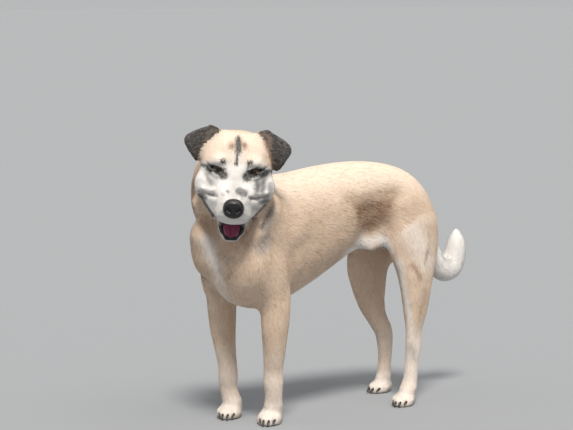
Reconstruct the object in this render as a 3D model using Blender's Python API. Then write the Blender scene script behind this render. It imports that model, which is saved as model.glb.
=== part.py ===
"""A standing medium-large dog of mixed breed, life size, as a still museum model.

The dog stands on z = 0 and faces -Y; its own left is +X. The chest is turned a little
towards its left and the head a lot further, with the nose a little down and the mouth open.

Every length in the tables is in "hands": sixtieths of the height at the withers. HAND turns
them into metres, so the whole dog scales from one number. The flesh is lofted in sections,
joined into one skin and smoothed, and then each named piece is taken off where its region ends.
"""

import math

import bmesh
import bpy
import numpy as np
from mathutils import Matrix, Vector

WITHERS_HEIGHT = 0.555
HAND = WITHERS_HEIGHT / 60
GAP = 0.0003 / HAND  # the clear space left between two pieces, in hands

VOXEL = 0.42  # grid of the joined skin, in hands
FLESH_TRIANGLES = 3050
RING_POINTS = 28

# Where each region's own frame sits: origin in hands, then the turns in degrees.
CHEST_ORIGIN = Vector((0.0, -26.2, 0))
CHEST_TURN = 17
FRONT_PAW_TURN = 38
HEAD_ORIGIN = Vector((8.3, -36.8, 62.3))  # midway between the eyes
HEAD_TURN = 50
HEAD_NOD = 18.5
HEAD_LEAN = 5

EYE_CENTRE = Vector((4.4, 0.5, 0.85))  # left eye, in the head's frame
EYE_RADIUS = 1.15
JAW_HINGE = Vector((0, 5.0, -5.0))
JAW_DROP = 22  # degrees that the lower jaw hangs open


# ---------------------------------------------------------------- frames


def turn(degrees, axis):
    return Matrix.Rotation(math.radians(degrees), 4, axis)


DOG = Matrix.Identity(4)
CHEST = Matrix.Translation(CHEST_ORIGIN) @ turn(CHEST_TURN, "Z")
HEAD = (
    Matrix.Translation(HEAD_ORIGIN)
    @ turn(HEAD_TURN, "Z")
    @ turn(HEAD_NOD, "X")
    @ turn(HEAD_LEAN, "Y")
)
JAW = HEAD @ Matrix.Translation(JAW_HINGE) @ turn(JAW_DROP, "X") @ Matrix.Translation(-JAW_HINGE)


# ---------------------------------------------------------------- materials


def material(name, colour, roughness):
    made = bpy.data.materials.new(name)
    made.use_nodes = True
    shader = made.node_tree.nodes["Principled BSDF"]
    shader.inputs["Base Color"].default_value = (*colour, 1)
    shader.inputs["Roughness"].default_value = roughness
    shader.inputs["Metallic"].default_value = 0.0
    return made


# ---------------------------------------------------------------- lofts


def smoothed_rows(rows, steps):
    """A Catmull-Rom curve through the rows of a table, with `steps` stretches between two rows."""
    table = np.array(rows, float)
    padded = np.vstack([2 * table[0] - table[1], table, 2 * table[-1] - table[-2]])
    out = []
    for i in range(1, len(padded) - 2):
        a, b, c, d = padded[i - 1 : i + 3]
        for t in np.arange(steps) / steps:
            out.append(
                0.5
                * (
                    2 * b
                    + (c - a) * t
                    + (2 * a - 5 * b + 4 * c - d) * t**2
                    + (3 * b - a - 3 * c + d) * t**3
                )
            )
    out.append(table[-1])
    return np.array(out)


def bend(value, fullness):
    """A sine or cosine, squared off: fullness 2 gives an ellipse, and more gives a boxier ring."""
    return math.copysign(abs(value) ** (2 / fullness), value)


def add_loft(flesh, rings, frame):
    """Skins a list of rings, each a list of points, and caps both ends with a fan."""
    levels = [[flesh.verts.new(frame @ Vector(p)) for p in ring] for ring in rings]
    for low, high in zip(levels, levels[1:]):
        for i in range(len(low)):
            j = (i + 1) % len(low)
            flesh.faces.new((low[i], low[j], high[j], high[i]))
    for level, flip in ((levels[0], True), (levels[-1], False)):
        middle = sum((v.co for v in level), Vector()) / len(level)
        tip = flesh.verts.new(middle)
        for i in range(len(level)):
            j = (i + 1) % len(level)
            corners = (level[j], level[i], tip) if flip else (level[i], level[j], tip)
            flesh.faces.new(corners)


def upright_loft(flesh, rows, frame=DOG, steps=3, points=RING_POINTS):
    """Sections that stand upright across Y.

    A row is (x, y, half width, height of the widest place, top, bottom, fullness)."""
    rings = []
    for x, y, half_width, widest, top, bottom, fullness in smoothed_rows(rows, steps):
        ring = []
        for i in range(points):
            angle = 2 * math.pi * i / points
            across, up = math.cos(angle), math.sin(angle)
            reach = (top - widest) if up > 0 else (widest - bottom)
            ring.append((x + half_width * bend(across, fullness), y, widest + reach * bend(up, fullness)))
        rings.append(ring)
    add_loft(flesh, rings, frame)


def limb_loft(flesh, rows, frame=DOG, steps=3, points=RING_POINTS, side=Vector((1, 0, 0))):
    """Sections square to a path, for legs, neck and tail.

    A row is (x, y, z, half size across, half size fore and aft)."""
    table = smoothed_rows(rows, steps)
    path = [Vector(row[:3]) for row in table]
    rings = []
    for i, row in enumerate(table):
        along = (path[min(i + 1, len(path) - 1)] - path[max(i - 1, 0)]).normalized()
        across = (side - along * side.dot(along)).normalized()
        fore = along.cross(across)
        ring = []
        for k in range(points):
            angle = 2 * math.pi * k / points
            ring.append(path[i] + across * (row[3] * math.cos(angle)) + fore * (row[4] * math.sin(angle)))
        rings.append(ring)
    add_loft(flesh, rings, frame)


def add_ball(flesh, centre, radii, frame=DOG, nod=0.0, turn_by=0.0, segments=20):
    """An ellipsoid of muscle; nod and turn_by tilt it about its own X and Z."""
    place = (
        frame
        @ Matrix.Translation(centre)
        @ turn(turn_by, "Z")
        @ turn(nod, "X")
        @ Matrix.Diagonal((*radii, 1))
    )
    bmesh.ops.create_uvsphere(flesh, u_segments=segments, v_segments=segments // 2 + 2, radius=1, matrix=place)


# ---------------------------------------------------------------- the flesh, region by region


def trunk(flesh):
    upright_loft(
        flesh,
        [
            (4.2, -38.6, 2.8, 39.5, 42.2, 36.5, 2.0),
            (3.7, -37.0, 6.2, 39.5, 44.5, 33.5, 2.1),
            (2.6, -34.0, 8.8, 40.0, 48.0, 30.0, 2.1),
            (1.4, -28.0, 10.4, 42.5, 59.0, 27.8, 2.2),
            (-0.4, -21.0, 10.2, 42.5, 60.6, 27.4, 2.2),
            (-1.1, -13.0, 10.0, 45.0, 61.0, 29.6, 2.2),
            (-0.7, -5.0, 9.8, 47.0, 62.1, 33.4, 2.2),
            (0.3, 2.0, 9.0, 49.5, 62.8, 37.4, 2.2),
            (1.4, 8.0, 7.8, 53.0, 62.9, 40.4, 2.3),
            (2.5, 14.0, 7.6, 54.0, 62.3, 42.4, 2.3),
            (3.3, 20.0, 8.0, 52.0, 60.7, 42.0, 2.2),
            (3.9, 25.0, 7.0, 49.0, 57.6, 41.0, 2.1),
            (4.2, 28.2, 5.2, 47.5, 53.2, 42.5, 2.0),
            (4.3, 29.4, 2.6, 47.5, 50.0, 45.0, 2.0),
        ],
    )


def neck(flesh):
    limb_loft(
        flesh,
        [
            (-0.3, -15.0, 48.0, 7.6, 11.5),
            (-1.4, -21.6, 49.0, 10.0, 11.0),
            (-3.2, -27.8, 51.6, 10.8, 9.2),
            (-2.6, -29.8, 56.6, 10.9, 8.7),
            (-1.0, -31.0, 61.5, 9.6, 7.9),
            (0.4, -31.8, 65.0, 7.6, 6.2),
        ],
        side=CHEST.to_3x3() @ Vector((1, 0, 0)),
    )
    # the loose skin of the throat, between the jaw and the breast
    add_ball(flesh, (-0.6, -31.2, 48.0), (9.2, 4.6, 6.5), turn_by=22)


def front_leg(flesh, side, elbow, carpus, shoulder):
    """side is 1 for the left leg. Elbow and carpus are in the dog's frame, the shoulder point in the chest's."""
    add_ball(flesh, (side * 6.8, -3.4, 46.0), (3.8, 6.6, 12.0), CHEST, nod=-24)
    add_ball(flesh, shoulder, (4.6, 5.1, 7.8), CHEST, nod=10)
    add_ball(flesh, (side * 8.4, -2.0, 36.5), (3.9, 5.4, 9.0), CHEST, nod=4)
    ex, ey, ez = elbow
    cx, cy, cz = carpus
    name = "fore_left" if side > 0 else "fore_right"
    px, py = PAWS[name][:2]
    limb_loft(
        flesh,
        [
            (ex - side * 0.5, ey + 0.2, ez + 7.0, 3.4, 5.0),
            (ex - side * 0.2, ey + 0.2, ez + 1.5, 3.8, 4.5),
            (ex * 0.75 + cx * 0.25, ey * 0.75 + cy * 0.25, ez * 0.75 + cz * 0.25, 3.5, 4.0),
            (ex * 0.4 + cx * 0.6, ey * 0.4 + cy * 0.6, ez * 0.4 + cz * 0.6, 2.9, 3.2),
            (cx, cy, cz + 2.5, 2.6, 2.7),
            (cx, cy, cz, 2.75, 2.85),
            (cx, cy + 0.1, cz - 3.0, 2.4, 2.4),
            (px, py + 1.0, 3.6, 2.5, 2.6),
            (px, py + 0.6, 1.2, 2.5, 3.0),
        ],
        side=CHEST.to_3x3() @ Vector((1, 0, 0)),
    )
    add_paw(flesh, name)


def hind_leg(flesh, side, rows, hip, buttock, flank):
    """Rows as for limb_loft, from the hip to the foot; the balls are the muscle over them."""
    add_ball(flesh, hip, (4.2, 7.6, 8.2), nod=-18)
    add_ball(flesh, buttock, (3.6, 5.2, 9.2), nod=10)
    add_ball(flesh, flank, (1.9, 8.0, 3.8), nod=34)
    limb_loft(flesh, rows)
    add_paw(flesh, "hind_left" if side > 0 else "hind_right")


LEFT_HIND = [
    (8.2, 19.0, 53.5, 3.2, 6.2),
    (8.8, 20.6, 47.0, 4.2, 8.4),
    (9.3, 20.6, 40.0, 4.1, 8.6),
    (10.3, 20.5, 33.5, 3.7, 6.2),
    (10.6, 20.3, 28.4, 3.2, 5.0),
    (10.8, 19.9, 23.5, 2.7, 4.0),
    (11.0, 19.2, 18.6, 2.1, 2.7),
    (11.1, 19.1, 14.6, 2.1, 2.6),
    (11.2, 18.5, 11.4, 2.0, 2.2),
    (11.3, 17.9, 6.5, 2.1, 2.2),
    (11.3, 17.0, 3.4, 2.2, 2.4),
    (11.3, 16.6, 1.3, 2.3, 2.7),
]
RIGHT_HIND = [
    (-1.8, 20.0, 53.5, 3.2, 6.2),
    (-2.8, 20.2, 47.0, 4.2, 8.2),
    (-3.6, 18.6, 40.0, 4.1, 8.4),
    (-4.3, 17.2, 34.5, 3.7, 7.4),
    (-4.5, 17.8, 29.5, 3.3, 6.2),
    (-4.6, 18.9, 24.2, 2.7, 4.7),
    (-4.6, 20.8, 20.0, 2.2, 3.4),
    (-4.6, 23.3, 16.0, 2.1, 3.1),
    (-4.6, 23.8, 12.0, 2.0, 2.6),
    (-4.6, 23.6, 7.6, 1.95, 2.1),
    (-4.6, 23.2, 3.8, 2.1, 2.2),
    (-4.6, 22.6, 1.3, 2.2, 2.6),
]


# Where each paw stands, which way it points in degrees, and its size.
PAWS = {
    "fore_left": (6.2, -24.6, FRONT_PAW_TURN, 1.0),
    "fore_right": (-5.8, -27.8, FRONT_PAW_TURN, 1.0),
    "hind_left": (11.4, 15.6, 26, 0.94),
    "hind_right": (-4.7, 22.6, 8, 0.94),
}
TOES = ((-2.15, -1.3, 0.92), (-0.78, -2.6, 1.0), (0.78, -2.6, 1.0), (2.15, -1.3, 0.92))


def paw_frame(name):
    x, y, heading, size = PAWS[name]
    return Matrix.Translation((x, y, -0.25)) @ turn(heading, "Z") @ Matrix.Diagonal((size, size, size, 1))


def add_paw(flesh, name):
    """Four toes round a broad pad; the sole is cut flat later, at the floor."""
    grown = paw_frame(name)
    add_ball(flesh, (0, 0.6, 2.0), (2.75, 3.2, 2.3), grown)
    for x, y, scale in TOES:
        toe = (1.12 * scale, 2.35 * scale, 1.75 * scale)
        add_ball(flesh, (x, y, 1.45), toe, grown, nod=12, turn_by=-x * 5)


def tail():
    brush = bmesh.new()
    rows = [
        (4.0, 23.6, 56.0, 2.0, 1.8),
        (4.1, 26.0, 54.9, 2.4, 2.2),
        (4.2, 28.8, 51.4, 2.5, 2.4),
        (4.3, 30.4, 46.5, 2.7, 2.6),
        (4.4, 31.4, 41.0, 2.9, 2.8),
        (4.5, 32.8, 35.6, 3.2, 3.2),
        (4.6, 35.4, 31.6, 3.3, 3.4),
        (4.6, 38.8, 31.9, 3.3, 3.4),
        (4.5, 40.5, 35.6, 3.2, 3.2),
        (4.3, 40.7, 39.6, 2.7, 2.7),
        (4.2, 40.6, 42.4, 1.9, 1.9),
        (4.2, 40.5, 44.0, 0.7, 0.7),
    ]
    limb_loft(brush, rows, steps=2, points=12)
    bmesh.ops.recalc_face_normals(brush, faces=brush.faces)
    return brush


def skull(flesh):
    upright_loft(
        flesh,
        [
            (0, 13.8, 3.6, 1.5, 4.4, -3.0, 2.0),
            (0, 12.0, 7.0, 1.2, 6.6, -6.0, 2.1),
            (0, 8.6, 8.7, 0.6, 7.9, -7.4, 2.15),
            (0, 4.8, 9.0, 0.0, 7.7, -7.8, 2.15),
            (0, 2.0, 8.5, -0.6, 6.2, -7.9, 2.2),
            (0, 0.2, 7.4, -1.2, 3.9, -7.9, 2.3),
            (0, -1.4, 6.2, -2.0, 1.6, -8.0, 2.4),
            (0, -3.0, 5.0, -3.0, -0.1, -8.2, 2.4),
        ],
        HEAD,
    )
    for side in (-1, 1):
        # cheek, brow and cheekbone
        add_ball(flesh, (side * 6.2, 3.4, -3.9), (3.4, 5.6, 4.2), HEAD, nod=14, turn_by=side * 16)
        add_ball(flesh, (side * 4.0, 1.3, 3.0), (3.0, 2.0, 1.7), HEAD, turn_by=side * 18)
        add_ball(flesh, (side * 5.8, 1.4, -2.6), (2.6, 3.0, 1.8), HEAD, turn_by=side * 24)


def muzzle(flesh):
    upright_loft(
        flesh,
        [
            (0, 5.0, 7.2, -6.6, 0.2, -9.4, 2.2),
            (0, 2.4, 8.1, -7.2, 0.2, -9.8, 2.2),
            (0, -1.5, 7.1, -7.5, 0.0, -9.8, 2.2),
            (0, -5.5, 5.5, -7.5, -0.8, -9.8, 2.2),
            (0, -8.4, 4.2, -7.2, -1.5, -9.6, 2.2),
            (0, -10.2, 3.2, -6.2, -2.2, -8.8, 2.2),
            (0, -11.0, 1.9, -5.2, -3.2, -7.6, 2.0),
        ],
        HEAD,
    )
    for side in (-1, 1):
        # the pad of the upper lip, beside the nose
        add_ball(flesh, (side * 2.3, -7.6, -6.4), (2.2, 3.2, 2.5), HEAD, turn_by=side * 14)


def lower_jaw(flesh):
    upright_loft(
        flesh,
        [
            (0, 7.0, 5.8, -6.4, -4.0, -9.4, 2.2),
            (0, 3.0, 5.4, -7.4, -5.6, -10.2, 2.3),
            (0, -1.0, 4.4, -8.2, -6.6, -10.6, 2.4),
            (0, -5.0, 3.6, -8.6, -7.4, -10.6, 2.4),
            (0, -8.2, 3.0, -8.8, -7.8, -10.4, 2.3),
            (0, -10.0, 2.2, -8.9, -8.1, -10.0, 2.1),
        ],
        JAW,
    )


def mouth_opening():
    """The wedge of open air between the lips."""
    wedge = bmesh.new()
    half = 7.6
    profile = [(1.6, -8.9), (-16.0, -8.9), (-16.0, -17.6)]
    left = [wedge.verts.new(HEAD @ Vector((half, y, z))) for y, z in profile]
    right = [wedge.verts.new(HEAD @ Vector((-half, y, z))) for y, z in profile]
    wedge.faces.new(left)
    wedge.faces.new(right[::-1])
    for i in range(3):
        j = (i + 1) % 3
        wedge.faces.new((left[j], left[i], right[i], right[j]))
    bmesh.ops.recalc_face_normals(wedge, faces=wedge.faces)
    return wedge


def palate():
    """The hollow of the palate, above the wedge."""
    hollow = bmesh.new()
    add_ball(hollow, (0, -3.6, -9.0), (3.3, 5.4, 1.5), HEAD)
    return hollow


# A row is the top point, the bottom point and the thickness of one section of the left ear.
EAR = [
    ((4.2, 7.3, 7.4), (6.4, 7.4, 3.4), 0.9),
    ((5.2, 7.0, 7.9), (7.2, 7.2, 2.6), 1.3),
    ((7.0, 6.7, 8.0), (8.6, 6.4, 0.8), 1.5),
    ((9.1, 6.4, 7.3), (9.9, 5.6, -0.4), 1.5),
    ((11.2, 6.0, 6.2), (11.0, 5.0, 1.2), 1.3),
    ((12.4, 5.8, 5.2), (12.1, 5.2, 2.6), 1.0),
    ((12.9, 5.7, 4.5), (12.8, 5.5, 3.6), 0.5),
]


def ear(side, lift):
    """The leather rises from the side of the skull and folds over, so it's modelled as one thick leaf."""
    table = smoothed_rows([[*top, *bottom, thick] for top, bottom, thick in EAR], 1)
    rings = []
    for row in table:
        top, bottom = Vector(row[:3]), Vector(row[3:6])
        middle, reach = (top + bottom) / 2, (top - bottom) / 2
        middle.z += lift * max(0.0, middle.x - 6) / 6
        out = reach.cross(Vector((1, 0, 0))).normalized() * (row[6] / 2)
        ring = []
        for k in range(12):
            angle = 2 * math.pi * k / 12
            point = middle + reach * math.cos(angle) + out * math.sin(angle)
            ring.append(Vector((point.x * side, point.y, point.z)))
        rings.append(ring if side > 0 else ring[::-1])
    leaf = bmesh.new()
    add_loft(leaf, rings, HEAD)
    bmesh.ops.recalc_face_normals(leaf, faces=leaf.faces)
    return leaf


def eyeball(side):
    ball = bmesh.new()
    centre = (side * EYE_CENTRE.x, EYE_CENTRE.y, EYE_CENTRE.z)
    add_ball(ball, centre, (EYE_RADIUS, EYE_RADIUS, EYE_RADIUS), HEAD, segments=14)
    return ball


def eye_opening(side):
    slit = bmesh.new()
    add_ball(slit, (side * (EYE_CENTRE.x + 0.05), -0.9, EYE_CENTRE.z), (1.45, 2.2, 0.72), HEAD, segments=14)
    return slit


NOSE = [
    # y, half width, widest height, top, bottom, fullness
    (-9.3, 1.6, -3.9, -2.3, -5.4, 2.0),
    (-9.9, 2.35, -4.0, -2.0, -6.2, 2.2),
    (-10.8, 2.5, -4.1, -2.0, -6.6, 2.3),
    (-11.5, 2.2, -4.2, -2.4, -6.4, 2.2),
    (-11.9, 1.3, -4.3, -3.2, -5.7, 2.0),
]


def nose():
    pad = bmesh.new()
    upright_loft(pad, [(0, *row) for row in NOSE], HEAD, steps=1, points=18)
    bmesh.ops.recalc_face_normals(pad, faces=pad.faces)
    return pad


TONGUE = [
    # y, half width, widest height, top, bottom, fullness
    (1.0, 1.6, -8.2, -7.6, -9.0, 2.2),
    (-0.5, 2.1, -8.3, -7.4, -9.3, 2.3),
    (-3.5, 2.3, -8.5, -7.6, -9.4, 2.4),
    (-6.5, 2.3, -8.6, -7.8, -9.4, 2.4),
    (-8.4, 1.9, -8.6, -8.0, -9.3, 2.3),
    (-9.3, 1.0, -8.6, -8.3, -9.1, 2.0),
]


def tongue():
    strip = bmesh.new()
    upright_loft(strip, [(0, *row) for row in TONGUE], JAW, steps=1, points=14)
    bmesh.ops.recalc_face_normals(strip, faces=strip.faces)
    return strip


def claw(name, toe):
    """A short blunt horn from the front of a toe, curving down to just above the floor."""
    x, y, scale = TOES[toe]
    heading = Matrix.Translation((x, y, 0)) @ turn(-x * 5, "Z")
    tip_y = -2.35 * scale
    horn = bmesh.new()
    path = [(0, tip_y + 0.75, 1.7, 0.36), (0, tip_y - 0.15, 1.5, 0.33), (0, tip_y - 0.75, 1.0, 0.2)]
    rings = []
    for px, py, pz, radius in path:
        ring = []
        for k in range(6):
            angle = 2 * math.pi * k / 6
            ring.append(Vector((px + radius * math.cos(angle), py, pz + 1.25 * radius * math.sin(angle))))
        rings.append(ring)
    add_loft(horn, rings, paw_frame(name) @ heading)
    bmesh.ops.recalc_face_normals(horn, faces=horn.faces)
    return horn


def joined_flesh():
    """All the lofts and balls together, still overlapping."""
    flesh = bmesh.new()
    trunk(flesh)
    neck(flesh)
    front_leg(flesh, 1, (8.3, -24.6, 28.0), (6.7, -24.0, 10.0), (6.6, -6.6, 39.4))
    front_leg(flesh, -1, (-8.5, -28.4, 28.0), (-6.6, -27.6, 10.0), (-6.7, -7.8, 42.6))
    hind_leg(
        flesh, 1, LEFT_HIND, (8.2, 19.2, 49.0), (8.0, 24.4, 43.5), (6.6, 11.6, 44.4)
    )
    hind_leg(
        flesh, -1, RIGHT_HIND, (-1.8, 20.2, 49.0), (-1.8, 24.4, 43.5), (-2.6, 10.6, 43.4)
    )
    skull(flesh)
    muzzle(flesh)
    lower_jaw(flesh)
    bmesh.ops.recalc_face_normals(flesh, faces=flesh.faces)
    return flesh


# ---------------------------------------------------------------- objects and cuts


def link(name, mesh, finish=None):
    made = bpy.data.objects.new(name, mesh)
    bpy.context.scene.collection.objects.link(made)
    if finish:
        mesh.materials.clear()
        mesh.materials.append(finish)
    return made


def object_from(name, shape, finish=None):
    mesh = bpy.data.meshes.new(name)
    shape.to_mesh(mesh)
    shape.free()
    return link(name, mesh, finish)


def applied(thing):
    """The object with its modifiers made real."""
    graph = bpy.context.evaluated_depsgraph_get()
    mesh = bpy.data.meshes.new_from_object(thing.evaluated_get(graph))
    thing.modifiers.clear()
    thing.data = mesh
    return thing


def modify(thing, kind, **settings):
    modifier = thing.modifiers.new(kind.title(), kind)
    for name, value in settings.items():
        setattr(modifier, name, value)
    return modifier


def cut(thing, cutter, operation="DIFFERENCE"):
    modify(thing, "BOOLEAN", object=cutter, operation=operation, solver="EXACT")
    applied(thing)
    bpy.data.objects.remove(cutter)
    return thing


def weigh(thing, group, weight_of):
    """A vertex group whose weights come from a function of the place, in hands."""
    made = thing.vertex_groups.new(name=group)
    for vertex in thing.data.vertices:
        made.add([vertex.index], weight_of(vertex.co), "REPLACE")


def keep_outer_skin(thing):
    """Drops the pockets that the joining leaves inside, so one shell is left."""
    skin = bmesh.new()
    skin.from_mesh(thing.data)
    left = set(skin.verts)
    shells = []
    while left:
        edge_of_search = [left.pop()]
        shell = set(edge_of_search)
        while edge_of_search:
            for edge in edge_of_search.pop().link_edges:
                for vertex in edge.verts:
                    if vertex not in shell:
                        shell.add(vertex)
                        left.discard(vertex)
                        edge_of_search.append(vertex)
        shells.append(shell)
    shells.sort(key=len)
    for shell in shells[:-1]:
        bmesh.ops.delete(skin, geom=list(shell), context="VERTS")
    skin.to_mesh(thing.data)
    skin.free()


def swollen(shape, gaps=2.4):
    """The same shape with its surface moved out by a little over the gap, to cut the hole that it sits in."""
    shape.normal_update()
    places = [v.co + v.normal * (gaps * GAP) for v in shape.verts]
    for vertex, place in zip(shape.verts, places):
        vertex.co = place
    return shape


def body_skin():
    """One closed skin round all the flesh, on an even grid and smoothed."""
    body = object_from("body", joined_flesh())
    modify(body, "REMESH", mode="VOXEL", voxel_size=VOXEL, adaptivity=0.0)
    applied(body)
    keep_outer_skin(body)
    to_head = HEAD.inverted()

    def softness(place):
        """Broad muscle is smoothed most; the face, the feet and the thin legs least."""
        from_face = (to_head @ place - Vector((0, -3, -4))).length
        face = min(1.0, max(0.1, (from_face - 8) / 9))
        legs = min(1.0, max(0.12, (place.z - 4) / 26))
        return min(face, legs)

    weigh(body, "soft", softness)
    modify(body, "SMOOTH", factor=0.6, iterations=60, vertex_group="soft")
    applied(body)
    return body


def thinned(body):
    """The skin with fewer, larger facets, which stay smallest on the face."""
    to_head = HEAD.inverted()

    def plainness(place):
        distance = (to_head @ place - Vector((0, -3, -4))).length
        plain = min(1.0, max(0.45, (distance - 9) / 8))
        return min(plain, 0.6) if place.z < 4 else plain

    weigh(body, "plain", plainness)
    triangles = 2 * len(body.data.polygons)
    modify(
        body,
        "DECIMATE",
        ratio=FLESH_TRIANGLES / triangles,
        vertex_group="plain",
        vertex_group_factor=1.0,
        use_collapse_triangulate=True,
    )
    return applied(body)


# Each piece is what the skin holds inside a region: a flat face, swept along a direction.
# Paws and legs are swept down from where they leave the body.
REGIONS = {
    "forepaw_left": ([(1.6, -30.5, 5), (11.5, -30.5, 5), (11.5, -19.5, 5), (1.6, -19.5, 5)], (0, 0, -8)),
    "forepaw_right": ([(-11, -34.5, 5), (1.4, -34.5, 5), (-1.2, -22.5, 5), (-11, -22.5, 5)], (0, 0, -8)),
    "hindpaw_left": ([(6, 9, 5), (17, 9, 5), (17, 22, 5), (6, 22, 5)], (0, 0, -8)),
    "hindpaw_right": ([(-10, 15, 5), (1, 15, 5), (1, 29, 5), (-10, 29, 5)], (0, 0, -8)),
    "foreleg_left": (
        [(2.4, -32, 26.7), (14.4, -32, 32.7), (14.4, -17, 32.7), (2.4, -17, 26.7)],
        (0, 0, -40),
    ),
    "foreleg_right": (
        [(-15.0, -36, 32.7), (-3.0, -36, 26.7), (-3.0, -20, 26.7), (-15.0, -20, 32.7)],
        (0, 0, -40),
    ),
    "hindleg_left": (
        [(2.6, 7, 38.4), (16.0, 7, 46.0), (15.2, 31, 55.2), (3.2, 31, 39.2)],
        (0, 0, -70),
    ),
    "hindleg_right": (
        [(-11.4, 7, 45.2), (1.0, 7, 38.4), (3.2, 31, 39.2), (-8.4, 31, 55.2)],
        (0, 0, -70),
    ),
}
# The head and the jaw, as side views (back, up) swept across; the neck is all that's left over the breast.
HEAD_SIDE = [(-22, 16), (16.5, 15), (8.4, -9.4), (0.4, -17.0), (-4.0, -19.0), (-22, -19.0)]
JAW_SIDE = [(0.7, -9.1), (0.7, -24), (-24, -24), (-24, -9.1)]
JAW_HALF_WIDTH = 4.8
NECK_BASE = ((0.6, -30.6, 50.0), (0.35, -0.7, 0.62))


def prism(face, sweep, frame=DOG):
    """A closed block between a face, given by its corners, and the same face moved by `sweep`."""
    block = bmesh.new()
    near = [block.verts.new(frame @ Vector(c)) for c in face]
    far = [block.verts.new(frame @ (Vector(c) + Vector(sweep))) for c in face]
    for i in range(len(face)):
        j = (i + 1) % len(face)
        block.faces.new((near[i], near[j], far[j], far[i]))
    if len(face) == 4:
        for a, b, c, d in (near, far[::-1]):
            block.faces.new((a, b, c))
            block.faces.new((a, c, d))
    else:
        block.faces.new(near)
        block.faces.new(far[::-1])
    bmesh.ops.recalc_face_normals(block, faces=block.faces)
    return block


def slab_above(centre, facing):
    """A wide block that lies on the side of a plane that it faces."""
    up = Vector(facing).normalized()
    wide = up.cross(Vector((0, 0, 1))).normalized()
    turned = Matrix((wide, up.cross(wide), up)).transposed().to_4x4()
    block = bmesh.new()
    size = Matrix.Diagonal((60, 60, 40, 1))
    middle = Vector(centre) + up * 20
    bmesh.ops.create_cube(block, size=1, matrix=Matrix.Translation(middle) @ turned @ size)
    return block


def regions():
    """Name, then a function that makes the region anew, in the order in which the pieces are taken off."""
    heading = Matrix.Translation(HEAD_ORIGIN) @ turn(HEAD_TURN, "Z")
    head_face = [(16, y, z) for y, z in HEAD_SIDE]
    jaw_face = [(JAW_HALF_WIDTH, y, z) for y, z in JAW_SIDE]
    taken = [(name, lambda f=face, s=sweep: prism(f, s)) for name, (face, sweep) in REGIONS.items()]
    taken.append(("head", lambda: prism(head_face, (-32, 0, 0), heading)))
    taken.append(("lower_jaw", lambda: prism(jaw_face, (-2 * JAW_HALF_WIDTH, 0, 0), HEAD)))
    taken.append(("neck", lambda: slab_above(*NECK_BASE)))
    return taken


def shells_of(thing):
    """The mesh's separate shells, largest first, each as its own bmesh."""
    whole = bmesh.new()
    whole.from_mesh(thing.data)
    whole.faces.ensure_lookup_table()
    seen = set()
    groups = []
    for face in whole.faces:
        if face in seen:
            continue
        group = {face}
        search = [face]
        while search:
            for edge in search.pop().edges:
                for other in edge.link_faces:
                    if other not in group:
                        group.add(other)
                        search.append(other)
        seen |= group
        groups.append([f.index for f in group])
    groups.sort(key=len, reverse=True)
    shells = []
    for group in groups:
        shell = whole.copy()
        shell.faces.ensure_lookup_table()
        keep = set(group)
        bmesh.ops.delete(shell, geom=[f for f in shell.faces if f.index not in keep], context="FACES")
        shells.append(shell)
    whole.free()
    return shells


def largest_shell(thing):
    """Leaves only the largest closed shell; crumbs from the cutting go."""
    shells = shells_of(thing)
    shells[0].to_mesh(thing.data)
    for shell in shells:
        shell.free()


def take_off(body, name, region, finish):
    """Moves what lies inside the region from the body into a piece of its own, with a gap between them."""
    piece = link(name, body.data.copy(), finish)
    cut(piece, object_from("region", region()), "INTERSECT")
    cut(body, object_from("region", swollen(region())))
    for thing in (piece, body):
        largest_shell(thing)
    return piece


def stand(things):
    """Turns hands into metres and centres the whole dog's box on the origin, its soles on z = 0."""
    for thing in things:
        thing.data.transform(Matrix.Diagonal((HAND, HAND, HAND, 1)))
    places = np.array([v.co for thing in things for v in thing.data.vertices])
    low, high = places.min(axis=0), places.max(axis=0)
    home = Matrix.Translation((-(low[0] + high[0]) / 2, -(low[1] + high[1]) / 2, -low[2]))
    for thing in things:
        thing.data.transform(home)
    print("stands", [round(float(v), 5) for v in home.translation])


def main():
    for thing in list(bpy.data.objects):
        bpy.data.objects.remove(thing)
    coat = material("fawn_coat", (0.62, 0.47, 0.32), 0.85)
    dark = material("dark_leather", (0.05, 0.045, 0.045), 0.7)
    wet = material("nose_leather", (0.02, 0.02, 0.022), 0.3)
    pink = material("tongue_pink", (0.55, 0.16, 0.24), 0.4)
    amber = material("eye_amber", (0.16, 0.08, 0.03), 0.1)
    horn = material("claw_horn", (0.08, 0.07, 0.065), 0.45)

    body = thinned(body_skin())
    floor = bmesh.new()
    bmesh.ops.create_cube(floor, size=1, matrix=Matrix.Translation((0, 0, -5)) @ Matrix.Diagonal((90, 120, 10, 1)))
    cut(body, object_from("floor", floor))
    cut(body, object_from("wedge", mouth_opening()))
    cut(body, object_from("hollow", palate()))
    pieces = [("tail", tail, (), coat), ("nose", nose, (), wet), ("tongue", tongue, (), pink)]
    for side, name, lift in ((1, "left", 0.0), (-1, "right", 0.6)):
        pieces.append(("ear_" + name, ear, (side, lift), dark))
        pieces.append(("eye_" + name, eyeball, (side,), amber))
        cut(body, object_from("opening", eye_opening(side)))
    for name in PAWS:
        for toe in range(4):
            pieces.append((f"claw_{name}_{toe + 1}", claw, (name, toe), horn))
    for name, shape, settings, finish in pieces:
        cut(body, object_from("socket", swollen(shape(*settings), 5.0 if shape is ear else 2.4)))
        object_from(name, shape(*settings), finish)
    body.data.materials.append(coat)
    head = None
    for name, region in regions():
        made = take_off(head if name == "lower_jaw" else body, name, region, coat)
        head = made if name == "head" else head
    body.name = "trunk"
    stand(bpy.data.objects)


main()
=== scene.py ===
import math
import time

import bmesh
import bpy
import numpy as np
from mathutils import Matrix, Vector
from mathutils.bvhtree import BVHTree


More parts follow.
